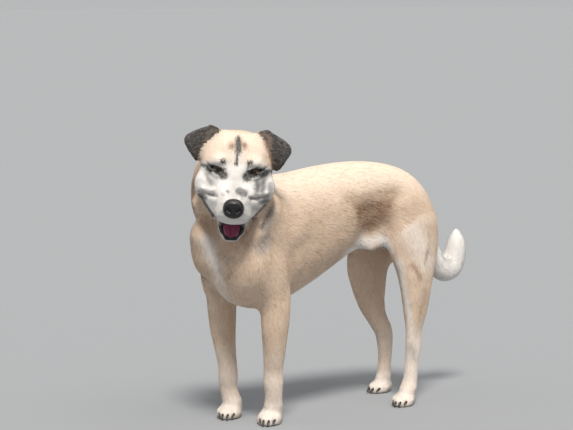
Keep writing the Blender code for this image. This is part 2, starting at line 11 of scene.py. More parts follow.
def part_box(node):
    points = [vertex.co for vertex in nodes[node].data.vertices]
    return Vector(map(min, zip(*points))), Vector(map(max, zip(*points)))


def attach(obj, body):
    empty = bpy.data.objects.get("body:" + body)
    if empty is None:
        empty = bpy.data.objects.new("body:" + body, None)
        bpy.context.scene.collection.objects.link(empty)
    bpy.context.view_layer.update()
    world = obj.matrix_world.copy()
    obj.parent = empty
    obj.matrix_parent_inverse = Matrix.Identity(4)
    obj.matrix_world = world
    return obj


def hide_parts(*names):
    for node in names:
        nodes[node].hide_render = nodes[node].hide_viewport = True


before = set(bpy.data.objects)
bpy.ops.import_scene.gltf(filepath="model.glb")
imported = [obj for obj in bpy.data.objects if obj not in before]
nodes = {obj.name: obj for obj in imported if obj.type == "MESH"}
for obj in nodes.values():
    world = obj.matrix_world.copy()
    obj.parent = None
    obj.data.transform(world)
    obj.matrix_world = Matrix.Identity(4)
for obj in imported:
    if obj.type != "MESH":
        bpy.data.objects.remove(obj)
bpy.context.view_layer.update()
chance = np.random.default_rng(41)
started = time.time()


def report(words):
    print(f"{time.time() - started:6.1f} s  {words}", flush=True)


# Places are written in hands, either in the dog's own frame or in the frame of its head.
dog = {
    "hand": 0.00925,  # a sixtieth of the height at the withers
    "headTurn": 50,
    "headNod": 18.5,
    "headLean": 5,
    "headPlace": (8.3, -36.8, 62.3),
    "eyesInHead": (0, 0.5, 0.85),
    "jawHinge": (0, 5, -5),
    "jawDrop": 22,
}
hand = dog["hand"]


def turned(degrees, axis):
    return Matrix.Rotation(math.radians(degrees), 4, axis)


def middleOf(node):
    low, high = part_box(node)
    return (low + high) / 2


eyesMiddle = (middleOf("eye_left") + middleOf("eye_right")) / 2
headFrame = (
    Matrix.Translation(eyesMiddle)
    @ turned(dog["headTurn"], "Z")
    @ turned(dog["headNod"], "X")
    @ turned(dog["headLean"], "Y")
    @ Matrix.Scale(hand, 4)
    @ Matrix.Translation(-Vector(dog["eyesInHead"]))
)
dogFrame = Matrix.Translation(headFrame.translation - hand * Vector(dog["headPlace"])) @ Matrix.Scale(hand, 4)
hinge = Matrix.Translation(dog["jawHinge"])
jawFrame = headFrame @ hinge @ turned(dog["jawDrop"], "X") @ hinge.inverted()


def inside(space, places):
    back = np.array(space.inverted())
    return places @ back[:3, :3].T + back[:3, 3]


def outside(space, places):
    there = np.array(space)
    return np.asarray(places, float) @ there[:3, :3].T + there[:3, 3]


def unit(vectors):
    return vectors / np.maximum(np.linalg.norm(vectors, axis=-1, keepdims=True), 1e-12)


def dot(first, second):
    return np.einsum("ij,ij->i", first, second)


def square(vectors, axes):
    # the part of each vector that stands square to its axis
    return vectors - axes * dot(vectors, axes)[:, None]


def ramp(values, low, high):
    # 0 below low, 1 above high, smooth between; low may be the larger
    t = np.clip((values - low) / (high - low), 0, 1)
    return t * t * (3 - 2 * t)


def reach(places, line):
    # distance from each place to a line through the given points
    line = [np.array(p, float) for p in line]
    if len(line) == 1:
        return np.linalg.norm(places - line[0], axis=1)
    best = np.full(len(places), 1e9)
    for a, b in zip(line[:-1], line[1:]):
        run = b - a
        t = np.clip((places - a) @ run / (run @ run), 0, 1)
        best = np.minimum(best, np.linalg.norm(places - a - t[:, None] * run, axis=1))
    return best


def dab(places, line, width):
    return np.exp(-((reach(places, line) / width) ** 2))


def within(places, corners, blur):
    # 1 inside a convex outline whose corners run clockwise, 0 outside, in two directions
    gap = np.full(len(places), -1e9)
    for a, b in zip(corners, corners[1:] + corners[:1]):
        run = unit(np.array(b, float) - a)
        gap = np.maximum(gap, (places - a) @ np.array((-run[1], run[0])))
    return ramp(gap, blur, -blur)


def mirrored(line):
    return [(-p[0],) + tuple(p[1:]) for p in line]


# meshes
def fetched(rows, key, kind):
    out = np.empty(len(rows) * 3, kind)
    rows.foreach_get(key, out)
    return out.reshape(-1, 3)


def pointsOf(mesh):
    return fetched(mesh.vertices, "co", float)


def normalsOf(mesh):
    return fetched(mesh.vertex_normals, "vector", np.float32).astype(float)


def movePoints(mesh, places):
    mesh.vertices.foreach_set("co", np.ascontiguousarray(places, np.float32).ravel())
    mesh.update()


def trianglesOf(mesh):
    mesh.calc_loop_triangles()
    return fetched(mesh.loop_triangles, "vertices", np.int32)


def smoothShade(mesh):
    mesh.polygons.foreach_set("use_smooth", np.ones(len(mesh.polygons), bool))


def newObject(name, mesh):
    thing = bpy.data.objects.new(name, mesh)
    bpy.context.scene.collection.objects.link(thing)
    return thing


def meshFrom(name, places, faces):
    mesh = bpy.data.meshes.new(name)
    places = np.asarray(places, float)
    if isinstance(faces, np.ndarray):
        mesh.vertices.add(len(places))
        mesh.loops.add(faces.size)
        mesh.polygons.add(len(faces))
        mesh.vertices.foreach_set("co", places.astype(np.float32).ravel())
        mesh.loops.foreach_set("vertex_index", faces.astype(np.int32).ravel())
        mesh.polygons.foreach_set("loop_start", np.arange(0, faces.size, faces.shape[1], dtype=np.int32))
        mesh.update(calc_edges=True)
    else:
        mesh.from_pydata(places.tolist(), [], faces)
    smoothShade(mesh)
    return newObject(name, mesh)


layerKinds = {1: ("FLOAT", "value"), 3: ("FLOAT_VECTOR", "vector"), 4: ("FLOAT_COLOR", "color")}


def setLayer(mesh, name, values):
    # a number, a vector or four channels for each vertex
    values = np.asarray(values, np.float32)
    kind, key = layerKinds[values.size // len(values)]
    mesh.attributes.new(name, kind, "POINT").data.foreach_set(key, values.ravel())


class Web:
    # the neighbours of every vertex, kept for averaging over the surface
    def __init__(self, mesh):
        edges = np.empty(len(mesh.edges) * 2, np.int32)
        mesh.edges.foreach_get("vertices", edges)
        edges = edges.reshape(-1, 2)
        source = np.concatenate([edges[:, 0], edges[:, 1]])
        target = np.concatenate([edges[:, 1], edges[:, 0]])
        order = np.argsort(source, kind="stable")
        self.target = target[order]
        self.start = np.searchsorted(source[order], np.arange(len(mesh.vertices)))
        self.degree = np.bincount(source, minlength=len(mesh.vertices)).astype(float)

    def average(self, values):
        total = np.add.reduceat(values[self.target], self.start, axis=0)
        return total / (self.degree[:, None] if values.ndim > 1 else self.degree)

    def soften(self, values, rounds, amount=0.5):
        for _ in range(rounds):
            values = values + amount * (self.average(values) - values)
        return values


def nodeShell(node, swell):
    # a node's mesh with its doubled vertices joined, grown a little so that neighbours meet
    shell = bmesh.new()
    shell.from_mesh(nodes[node].data)
    bmesh.ops.remove_doubles(shell, verts=shell.verts, dist=1e-6)
    shell.normal_update()
    places = np.array([v.co + v.normal * swell for v in shell.verts])
    faces = [[v.index for v in f.verts] for f in shell.faces]
    shell.free()
    return places, faces


def joined(parts):
    places, faces, count = [], [], 0
    for spots, loops in parts:
        places.append(np.asarray(spots, float))
        faces += [[i + count for i in loop] for loop in loops]
        count += len(spots)
    return np.concatenate(places), faces


def voxelled(name, parts, voxel):
    source = meshFrom(name + "_source", *joined(parts))
    fill = source.modifiers.new("fill", "REMESH")
    fill.mode = "VOXEL"
    fill.voxel_size = voxel
    bpy.context.view_layer.update()
    mesh = bpy.data.meshes.new_from_object(source.evaluated_get(bpy.context.evaluated_depsgraph_get()))
    bpy.data.objects.remove(source)
    return mesh


def largestShell(mesh):
    work = bmesh.new()
    work.from_mesh(mesh)
    work.verts.ensure_lookup_table()
    seen, best = set(), []
    for start in work.verts:
        if start.index in seen:
            continue
        seen.add(start.index)
        shell, edge = [start], [start]
        while edge:
            vertex = edge.pop()
            for link in vertex.link_edges:
                other = link.other_vert(vertex)
                if other.index not in seen:
                    seen.add(other.index)
                    shell.append(other)
                    edge.append(other)
        if len(shell) > len(best):
            best = shell
    keep = {v.index for v in best}
    bmesh.ops.delete(work, geom=[v for v in work.verts if v.index not in keep], context="VERTS")
    work.to_mesh(mesh)
    work.free()


def refined(mesh, wanted):
    # cuts each face once where wanted(centres) says so
    work = bmesh.new()
    work.from_mesh(mesh)
    work.faces.ensure_lookup_table()
    chosen = wanted(np.array([f.calc_center_median() for f in work.faces]))
    edges = {e for f, yes in zip(work.faces, chosen) if yes for e in f.edges}
    bmesh.ops.subdivide_edges(work, edges=list(edges), cuts=1, use_grid_fill=True)
    bmesh.ops.triangulate(work, faces=[f for f in work.faces if len(f.verts) > 4])
    work.to_mesh(mesh)
    work.free()


def lofted(rings, closed=True):
    # rings of equal count into one skin, with a fan over each end
    places = np.concatenate(rings)
    n, faces = len(rings[0]), []
    for k in range(len(rings) - 1):
        for i in range(n):
            j = (i + 1) % n
            faces.append([k * n + i, k * n + j, (k + 1) * n + j, (k + 1) * n + i])
    if closed:
        faces.append(list(range(n))[::-1])
        faces.append(list(range(len(places) - n, len(places))))
    return places, faces


# shader tools
class Value:
    # a socket that takes part in ordinary sums
    def __init__(self, look, socket):
        self.look, self.socket = look, socket

    def math(self, operation, first, second=None, clamp=False):
        return self.look.node("ShaderNodeMath", {"operation": operation, "use_clamp": clamp}, [first, second])

    def __add__(self, other):
        return self.math("ADD", self, other)

    __radd__ = __add__

    def __mul__(self, other):
        return self.math("MULTIPLY", self, other)

    def __sub__(self, other):
        return self.math("SUBTRACT", self, other)

    def __rsub__(self, other):
        return self.math("SUBTRACT", other, self)

    def clamped(self):
        return self.math("ADD", self, 0, clamp=True)

    def between(self, low, high):
        # 0 at low, 1 at high, smooth between
        return self.look.node("ShaderNodeMapRange", {"interpolation_type": "SMOOTHSTEP"}, [self, low, high, 0, 1])


class Look:
    def __init__(self, name, **fixed):
        self.material = bpy.data.materials.new(name)
        self.material.use_nodes = True
        self.tree = self.material.node_tree
        self.shader = next(n for n in self.tree.nodes if n.type == "BSDF_PRINCIPLED")
        for socket, value in fixed.items():
            self.shader.inputs[socket.replace("_", " ")].default_value = value

    def node(self, kind, settings=None, sockets=(), out=0):
        made = self.tree.nodes.new(kind)
        for key, value in (settings or {}).items():
            if key == "stops":
                marks = made.color_ramp.elements
                while len(marks) < len(value):
                    marks.new(0.5)
                for mark, (place, colour) in zip(marks, value):
                    mark.position, mark.color = place, colour
            else:
                setattr(made, key, value)
        pairs = sockets.items() if isinstance(sockets, dict) else enumerate(sockets)
        for key, value in pairs:
            if isinstance(value, Value):
                self.tree.links.new(value.socket, made.inputs[key])
            elif value is not None:
                made.inputs[key].default_value = value
        return Value(self, made.outputs[out])

    def mix(self, factor, first, second, blend="MIX"):
        settings = {"data_type": "RGBA", "blend_type": blend, "clamp_factor": True}
        return self.node("ShaderNodeMix", settings, {0: factor, 6: first, 7: second}, out=2)

    def where(self):
        return self.node("ShaderNodeTexCoord", out="Object")

    def noise(self, scale, detail=3, roughness=0.6, place=None):
        sockets = {"Vector": place or self.where(), "Scale": scale, "Detail": detail, "Roughness": roughness}
        return self.node("ShaderNodeTexNoise", {}, sockets)

    def layer(self, name, out="Fac"):
        return self.node("ShaderNodeAttribute", {"attribute_name": name}, out=out)

    def marks(self, name):
        # the four channels of a painted layer
        split = self.layer(name, "Color")
        channels = self.node("ShaderNodeSeparateColor", {}, [split])
        source = channels.socket.node
        alpha = split.socket.node.outputs["Alpha"]
        return [Value(self, source.outputs[i]) for i in range(3)] + [Value(self, alpha)]

    def feed(self, **values):
        for socket, value in values.items():
            self.tree.links.new(value.socket, self.shader.inputs[socket.replace("_", " ")])
        return self.material

    def bump(self, height, strength, distance):
        sockets = {"Strength": strength, "Distance": distance, "Height": height}
        return self.node("ShaderNodeBump", {}, sockets)


def rgb(red, green, blue):
    return (red, green, blue, 1)


# the skin
skinPlan = {
    "voxel": 0.004,
    "swell": 0.0009,  # closes the thin cuts between the solids
    "rounds": 34,
    "pace": {"body": 0.5, "paw": 0.22, "ear": 0.07},  # how fast each is smoothed
    "depthRounds": 14,
    "offRounds": 22,
    "offLimits": (-0.006, 0.004),  # metres by which the skin may be moved back to the solid
    "tailCore": 0.84,  # the tail's flesh as a share of its brush
    "depth": {  # millimetres of coat over the flesh
        "trunk": 4.2,
        "neck": 4.0,
        "hindleg": 3.0,
        "foreleg": 2.6,
        "hindpaw": 1.5,
        "forepaw": 1.5,
        "head": 1.7,
        "lower_jaw": 1.3,
        "ear": 1.1,
        "tail": 0.0,
        "nose": 3.4,
    },
}
fleshNodes = ["head", "lower_jaw", "neck", "trunk"]
for part in ("foreleg", "hindleg", "forepaw", "hindpaw", "ear"):
    fleshNodes += [f"{part}_left", f"{part}_right"]
tailPath = np.array(
    [
        (4.0, 23.4, 56, 1.9),
        (4.0, 25.4, 54.7, 1.9),
        (4.1, 27.8, 51.2, 1.8),
        (4.2, 29.3, 46.5, 1.8),
        (4.3, 30.4, 41, 2.0),
        (4.5, 32.2, 35.9, 2.9),
        (4.6, 35.2, 31.9, 3.4),
        (4.6, 38.6, 32.2, 3.5),
        (4.5, 40.4, 35.8, 3.4),
        (4.3, 41.0, 39.8, 3.0),
        (4.2, 41.1, 43.2, 2.2),
    ]
)


def tailCore():
    steps = np.linspace(0, len(tailPath) - 1, 45)
    path = np.column_stack([np.interp(steps, range(len(tailPath)), tailPath[:, i]) for i in range(4)])
    for _ in range(3):
        path[1:-1] = (path[:-2] + path[1:-1] * 2 + path[2:]) / 4
    rings = []
    for k, row in enumerate(path):
        ahead = path[min(k + 1, len(path) - 1), :3] - path[max(k - 1, 0), :3]
        ahead = ahead / np.linalg.norm(ahead)
        side = unit(np.cross(ahead, (1, 0, 0)))
        other = np.cross(ahead, side)
        around = np.linspace(0, 2 * math.pi, 16, endpoint=False)[:, None]
        size = row[3] * skinPlan["tailCore"] * (1 - 0.72 * ramp(k / len(path), 0.86, 1.0))
        rings.append(row[:3] + size * (np.cos(around) * side + np.sin(around) * other))
    places, faces = lofted(rings)
    return outside(dogFrame, places), faces


def ball(place, radius, rings=12):
    around = np.linspace(0, 2 * math.pi, 20, endpoint=False)
    loops = []
    for k in range(1, rings):
        tilt = math.pi * k / rings
        loops.append(
            np.column_stack(
                [
                    np.cos(around) * math.sin(tilt) * radius,
                    np.sin(around) * math.sin(tilt) * radius,
                    np.full(20, math.cos(tilt) * radius),
                ]
            )
            + np.array(place)
        )
    return lofted(loops)


eyePlan = {
    "sink": 0.14,  # how far the eyeball sits behind its solid
    "radius": 1.15,
    "room": 0.12,  # thickness of the skin over the eyeball before it is opened
    "wide": 1.12,  # half the opening's width and its reach above and below the gaze
    "up": 0.44,
    "down": 0.47,
    "slant": 17,
    "rim": 1.1,  # the skin round the eyeball and the floor of its socket, as shares of the radius
    "socket": 0.84,
}
eyes = {}
for side, sign in (("left", 1), ("right", -1)):
    centre = inside(headFrame, np.array([middleOf(f"eye_{side}")]))[0]
    centre = centre + np.array((0, eyePlan["sink"], 0))
    gaze = unit(np.array((0.06 * sign, -0.97, 0.2)))
    across = unit(np.cross(gaze, (0, 0, 1)))
    across = across * sign * np.sign(across[0])  # towards the outer corner
    tilt = math.radians(eyePlan["slant"])
    above = unit(np.cross(across, gaze))
    above = above * np.sign(above[2])
    across, above = math.cos(tilt) * across + math.sin(tilt) * above, math.cos(tilt) * above - math.sin(tilt) * across
    eyes[side] = {"centre": centre, "gaze": gaze, "across": across, "above": above, "sign": sign}

parts = [nodeShell(node, skinPlan["swell"]) for node in fleshNodes + ["nose"]]
parts.append(tailCore())
for eye in eyes.values():
    parts.append(ball(outside(headFrame, [eye["centre"]])[0], (eyePlan["radius"] + eyePlan["room"]) * hand))
cheekFill = [
    # place in the head's frame and radius, from the cheek towards the chin
    (7.0, 1.4, -8.9, 1.1),
    (6.6, 0.2, -9.2, 1.05),
    (6.1, -1.0, -9.4, 1.0),
    (5.6, -2.2, -9.6, 0.95),
    (5.1, -3.4, -9.7, 0.85),
    (4.7, -4.4, -9.7, 0.7),
]
for x, y, z, size in cheekFill:  # the cheek skin behind the corners of the mouth
    for sign in (1, -1):
        parts.append(ball(outside(headFrame, [(x * sign, y, z)])[0], size * hand))
skinMesh = voxelled("skin", parts, skinPlan["voxel"])
largestShell(skinMesh)
report(f"skin voxelled: {len(skinMesh.vertices)} vertices")


def onHead(centres):
    # the head, the ears and the feet are cut finer than the body
    spots = inside(headFrame, centres)
    feet = centres[:, 2] < 6.5 * hand
    ears = (np.abs(spots[:, 0]) > 4) & (spots[:, 2] > -1.5) & (spots[:, 1] > 3.5) & (spots[:, 1] < 8.5)
    return (spots[:, 1] < 4.5) & (spots[:, 2] > -14.5) & (np.abs(spots[:, 0]) < 9.5) | feet | ears


def onFace(centres):
    # round the eyes and lips once more
    spots = inside(headFrame, centres)
    near = np.zeros(len(centres), bool)
    for eye in eyes.values():
        near |= np.linalg.norm(spots - eye["centre"], axis=1) < 3.0
    lips = (spots[:, 1] < -6.5) & (np.abs(spots[:, 0]) < 5) & (spots[:, 2] > -9.5) & (spots[:, 2] < -1.6)
    return near | lips


refined(skinMesh, onHead)
refined(skinMesh, onFace)
smoothShade(skinMesh)
report(f"skin refined: {len(skinMesh.vertices)} vertices")

# which solid each vertex lies nearest to
labelNames = fleshNodes + ["tail", "nose"]
parts, owners = [], []
for number, node in enumerate(labelNames):
    part = nodeShell(node, 0)
    parts.append(part)
    owners += [number] * len(part[1])
owners = np.array(owners)
places, loops = joined(parts)
solids = BVHTree.FromPolygons(places.tolist(), loops)


def nearest(tree, places):
    found = [tree.find_nearest(p) for p in places.tolist()]
    spots = np.array([f[0] for f in found])
    return spots, np.array([f[1] for f in found]), np.array([f[2] for f in found])


skinPlaces = pointsOf(skinMesh)
spots, facing, faces = nearest(solids, skinPlaces)
label = owners[faces]
web = Web(skinMesh)


def among(labels, *starts):
    wanted = [i for i, name in enumerate(labelNames) if name.startswith(starts)]
    return np.isin(labels, wanted)


pace = np.where(among(label, "forepaw", "hindpaw"), skinPlan["pace"]["paw"], skinPlan["pace"]["body"])
pace = np.where(among(label, "ear"), skinPlan["pace"]["ear"], pace)
pace = web.soften(pace, 5)[:, None]
smooth = web.soften(skinPlaces, skinPlan["rounds"], pace)
spots, facing, faces = nearest(solids, smooth)
off = dot(smooth - spots, facing)
off = np.where(among(label, "tail"), 0, np.clip(off, *skinPlan["offLimits"]))
depth = np.zeros(len(smooth))
for start, millimetres in skinPlan["depth"].items():
    depth[among(label, start)] = millimetres / 1000
move = web.soften(depth, skinPlan["depthRounds"]) + web.soften(off, skinPlan["offRounds"])
movePoints(skinMesh, smooth)
skinPlaces = smooth - normalsOf(skinMesh) * move[:, None]
movePoints(skinMesh, skinPlaces)
report("skin laid under the coat")

# folds and muscles: a line of places, its width and how far it stands out, all in hands
browFolds = [
    ([(1.9, -1.5, 2.6), (4.0, -1.0, 3.0), (6.4, 0.3, 2.4)], 0.8, 0.2),  # brow
    ([(2.4, -2.2, 0.5)], 0.8, -0.25),  # inner corner
    ([(3.2, -2.4, -0.6), (4.8, -1.9, -0.8), (6.2, -0.8, -0.4)], 0.6, -0.14),  # under the lower lid
    ([(3.0, -3.5, -1.0), (4.3, -4.5, -2.6), (5.8, -2.8, -3.6), (7.5, -1.7, -3.7)], 0.55, 0.26),  # cheek fold
    ([(4.2, -5.8, -3.7), (6.1, -2.8, -4.8), (7.8, -1.8, -4.6)], 0.5, -0.26),  # crease under it
    ([(5.8, -1.7, -1.8)], 1.1, -0.14),
    ([(8.2, 0.6, -1.5), (8.8, 2.2, -4.0)], 1.2, 0.16),  # cheek bone
    ([(6.9, 2.2, 3.6)], 1.5, -0.12),  # temple
    ([(2.9, -9.4, -5.2)], 1.3, 0.16),  # whisker pad
    ([(1.7, -5.0, -0.8), (1.9, -8.6, -2.0)], 0.6, -0.12),  # side of the bridge
    ([(3.2, 3.0, 6.3)], 1.9, 0.14),  # dome of the forehead
]
headFolds = [
    ([(-0.1, 5.6, 7.6), (0, 2.4, 6.3), (0.1, -0.6, 2.8)], 0.75, -0.3),  # furrow
    ([(0, -2.2, 1.2)], 1.3, -0.12),  # stop
    ([(0, -11.7, -6.0), (0, -11.0, -7.6)], 0.3, -0.22),  # groove under the nose
]
for line, width, rise in browFolds:
    headFolds += [(line, width, rise * 1.8), (mirrored(line), width, rise * 1.8)]
headPulls = [
    # a line in the head's frame, its width, and the way it is drawn out
    ([(-3.9, 7.4, 7.2), (-5.2, 7.0, 8.0)], 1.7, (0, 0, 0.8)),
    ([(4.6, 7.0, 7.1), (5.8, 6.6, 7.4)], 1.6, (0, 0, 0.9)),
    ([(-7.0, 6.6, 8.0), (-9.3, 6.0, 7.2), (-11.8, 5.4, 5.6)], 1.5, (-0.15, 0, 1.0)),
    ([(7.4, 6.4, 7.6), (9.9, 6.0, 6.6), (12.0, 5.4, 5.2)], 1.5, (0.1, 0, 0.9)),
    ([(9.9, 5.5, -0.4), (11.0, 5.0, 1.2)], 1.6, (-0.3, 0, -1.3)),
    ([(-9.9, 5.5, 0.2), (-11.0, 5.0, 1.8)], 1.4, (0.2, 0, -0.3)),
    ([(-2.9, -6.8, -13.6)], 1.2, (0.5, 0.3, 0.4)),
    ([(2.9, -6.8, -13.6)], 1.2, (-0.5, 0.3, 0.4)),
]
bodyFolds = [
    ([(9.4, -19, 46), (8.6, -14.5, 49)], 2.2, 0.3),  # shoulder blade
    ([(9.8, -20, 41), (9.6, -14, 44)], 1.8, -0.25),
    ([(8.8, -17, 37.5), (10.5, -21.5, 32)], 1.6, 0.28),  # triceps
    ([(9.2, -14.0, 41), (8.6, -15.0, 36)], 1.4, -0.3),
    ([(8.6, 6.6, 45.5), (8.8, 5.5, 50)], 3.2, -1.0),  # flank hollow
    ([(8.6, -1.7, 53.7), (9.2, -0.2, 49.9), (9.0, 1.2, 46.5)], 1.2, 0.35),
    ([(9.9, 12.9, 51.6), (9.2, 11.8, 47.8), (8.6, 10.8, 45.2)], 1.2, 0.35),
    ([(9.6, 9.5, 47), (7.6, 6.8, 40)], 1.5, -0.3),  # edge of the thigh
    ([(11.6, 13.5, 45), (13.3, 20, 40)], 3.0, 0.28),
    ([(13.2, 22.0, 38), (12.9, 22.5, 31)], 1.3, -0.25),
    ([(12.5, 17.0, 33), (12.6, 17.0, 27)], 1.5, 0.22),
    ([(3.9, -38.5, 38.2), (6.2, -37, 34.2), (5, -33, 29.5)], 1.2, -0.45),  # between chest and left arm
    ([(9.9, -30.1, 52.1), (11.3, -28, 47), (11.6, -24.3, 40.9)], 1.1, -0.3),  # neck to shoulder
    ([(9.0, -28.5, 56.5), (9.6, -31.5, 50.5), (8.0, -35.0, 45.0)], 0.9, 0.22),
    ([(-3.0, -38.6, 50), (-1.6, -38.8, 44)], 1.0, 0.2),
    ([(-5.2, -38.3, 54.0), (-4.2, -38.3, 50.0), (-3.2, -39.2, 46.4)], 2.4, 1.5),
    ([(0.6, -38.2, 43), (1.8, -38.0, 37)], 1.0, -0.25),  # breast bone groove
    ([(8.9, -8, 50), (9.1, -7, 40)], 0.9, -0.06),
    ([(8.9, -4.5, 50), (9.0, -3.5, 41)], 0.9, -0.06),
    ([(8.9, -1.5, 50), (8.9, -0.5, 42)], 0.9, -0.06),
]
for leg in (((-5.2, -29.4, 20.5), (-5.4, -28.6, 17)), ((7.2, -27.5, 20.5), (7.5, -26.8, 17))):
    bodyFolds.append((list(leg), 0.9, -0.12))
normals = normalsOf(skinMesh)
spots = inside(headFrame, skinPlaces)
rise = np.zeros(len(skinPlaces))
near = np.where(spots[:, 1] < 9)[0]
for line, width, lift in headFolds:
    rise[near] += lift * dab(spots[near], line, width)
spots = inside(dogFrame, skinPlaces)
for line, width, lift in bodyFolds:
    rise += lift * dab(spots, line, width)
skinPlaces = skinPlaces + normals * (rise * hand)[:, None]
spots = inside(headFrame, skinPlaces)
drawn = sum(dab(spots, line, width)[:, None] * np.array(way) for line, width, way in headPulls)
skinPlaces = outside(headFrame, spots + drawn)
movePoints(skinMesh, skinPlaces)


# the eyelids: an almond opening on the eyeball, in angles from the gaze
def eyeAngles(eye, spots):
    away = spots - eye["centre"]
    far = np.linalg.norm(away, axis=1)
    a, b, c = (away @ eye[key] for key in ("across", "above", "gaze"))
    return far, np.arctan2(np.hypot(a, b), c), np.arctan2(b, a)


def lidAngle(around):
    wide, up, down = (eyePlan[key] for key in ("wide", "up", "down"))
    a, b = np.cos(around), np.sin(around)
    tall = np.where(b > 0, up, down)
    size = 1 / (np.abs(a / wide) ** 1.7 + np.abs(b / tall) ** 1.7) ** (1 / 1.7)
    return np.arcsin(np.clip(size / eyePlan["radius"], 0, 0.985))


spots = inside(headFrame, skinPlaces)
for eye in eyes.values():
    far, off, around = eyeAngles(eye, spots)
    edge = lidAngle(around)
    near = far < 2.6 * eyePlan["radius"]
    hole = near * (1 - ramp(off / edge, 1.12, 1.4)) * (off < 1.7)
    proud = near * ramp(far, 2.2, 1.5) * ramp(off / edge, 1.3, 1.6) * (off < 2.0)
    wanted = np.maximum(far, eyePlan["rim"] * eyePlan["radius"])
    far2 = far + proud * (wanted - far)
    far2 = far2 * (1 - hole) + np.minimum(far2, eyePlan["socket"] * eyePlan["radius"]) * hole
    spots = eye["centre"] + (spots - eye["centre"]) * (far2 / np.maximum(far, 1e-9))[:, None]
skinPlaces = outside(headFrame, spots)
movePoints(skinMesh, skinPlaces)
report("folds and sockets carved")

# markings
faceMarks = {
    # name of the layer: (line, width, strength), seen along the muzzle in the head's frame
    "black": [
        ([(2.5, -2.5, 0.2), (3.4, -1.7, 0.7), (4.7, -1.0, 0.9), (5.9, -0.5, 0.8), (6.6, -0.1, 0.8)], 0.95, 2.0),
        ([(6.4, -0.1, 1.0), (8.1, 1.3, 0.6)], 0.36, 1.5),
        ([(3.1, -1.4, 1.4), (4.6, -0.7, 1.8), (6.3, -0.1, 1.3)], 0.5, 1.6),
        ([(-6.3, -0.1, 1.2), (-5.3, -0.4, 1.6), (-3.7, -1.1, 1.2)], 0.48, 1.6),
        ([(2.5, -0.9, 1.6), (2.9, -0.7, 3.1)], 0.22, 0.9),
        ([(2.7, -0.7, 3.2), (3.2, -0.7, 3.1)], 0.42, 1.7),
        ([(-6.0, -0.4, 0.9), (-5.2, -0.6, 1.0), (-4.4, -0.9, 0.8), (-3.6, -1.6, 0.5), (-2.8, -2.4, 0.2)], 0.84, 2.0),
        ([(-6.2, -0.1, 1.2), (-8.0, 1.1, 0.9)], 0.36, 1.5),
        ([(-3.5, -0.7, 2.9), (-3.0, -0.7, 2.9)], 0.42, 1.6),
        ([(-3.9, -8.0, -8.3), (-5.4, -5.5, -7.5), (-6.8, -2.2, -7.0), (-8.2, -1.3, -5.6)], 0.26, 1.5),
        ([(4.1, -8.6, -7.8), (5.5, -4.7, -8.1), (6.4, -3.3, -7.5), (7.5, -1.1, -6.8)], 0.24, 1.0),
    ],
    "grey": [
        ([(4.9, -1.8, -1.0), (5.3, -2.0, -2.0), (5.2, -2.6, -3.0)], 0.8, 0.85),
        ([(6.4, -1.1, -0.8), (6.5, -1.4, -2.0), (6.3, -2.0, -3.2)], 0.75, 0.85),
        ([(-6.6, -0.7, -0.6), (-5.6, -2.2, -2.1)], 0.45, 0.6),
        ([(-4.4, -2.4, -0.9)], 0.6, 0.5),
        ([(-1.6, -7.3, -1.6)], 0.6, 0.9),
        ([(0.9, -7.1, -1.4), (2.1, -7.2, -1.8)], 0.85, 1.9),
        ([(3.9, -7.0, -2.9), (3.5, -7.4, -2.6)], 0.5, 1.3),
        ([(1.8, -9.0, -2.4)], 0.6, 0.6),
        # painted shade in the creases under the cheek folds, this and the next
        ([(4.2, -6.2, -3.4), (6.1, -2.8, -4.5), (7.8, -1.8, -4.3)], 0.4, 0.8),
        ([(-4.6, -5.4, -3.5), (-6.7, -2.1, -4.9), (-8.4, -1.3, -4.7)], 0.3, 0.8),
        ([(3.3, -8.8, -3.9), (5.0, -6.0, -5.8), (5.9, -4.4, -6.9)], 1.2, 0.6),
        # painted shade under the left cheek fold
        ([(6.1, -2.8, -5.6), (7.8, -1.8, -5.4)], 0.75, 1.0),
        ([(-2.4, -7.8, -2.3)], 0.45, 0.5),
        ([(8.0, -0.2, -2.2), (8.2, 0.2, -4.5)], 0.6, 0.6),
        # painted shade under the right cheek fold
        ([(-6.8, -2.5, -5.8), (-7.8, -0.8, -5.7)], 0.8, 0.95),
        ([(-3.4, -8.0, -5.0), (-4.6, -5.0, -6.0)], 1.9, 0.34),
        ([(3.2, -8.0, -4.6), (5.0, -5.0, -6.0)], 2.0, 0.5),
        ([(0, -4.0, -0.2), (0, -9.0, -2.0)], 1.7, 0.42),
    ],
    "brown": [
        ([(-1.5, 1.9, 5.9)], 0.85, 1.1),
        ([(1.4, 2.2, 6.1)], 0.85, 1.1),
        ([(-0.1, 3.2, 6.8), (0.1, 0.8, 4.6)], 0.7, 0.7),
        ([(-8.5, 3.4, 1.4), (-7.7, 1.5, 1.7)], 0.8, 0.4),
        ([(6.8, 2.1, 3.8), (7.8, 1.6, 1.4)], 0.9, 0.4),
        ([(8.2, 1.4, 0.5)], 0.5, 0.6),
    ],
    "dark": [
        ([(-0.1, 5.2, 7.6), (0, 2.5, 6.4), (0.2, 1.2, 5.2), (0, 0.3, 4.0), (-0.1, -0.9, 2.4)], 0.36, 1.5),
        ([(0, 3.4, 6.9), (0.05, 2.4, 6.3), (0.15, 1.2, 5.2)], 0.75, 1.4),
        ([(0.15, 1.2, 5.2), (0, 0.2, 3.9)], 0.36, 0.8),
    ],
}
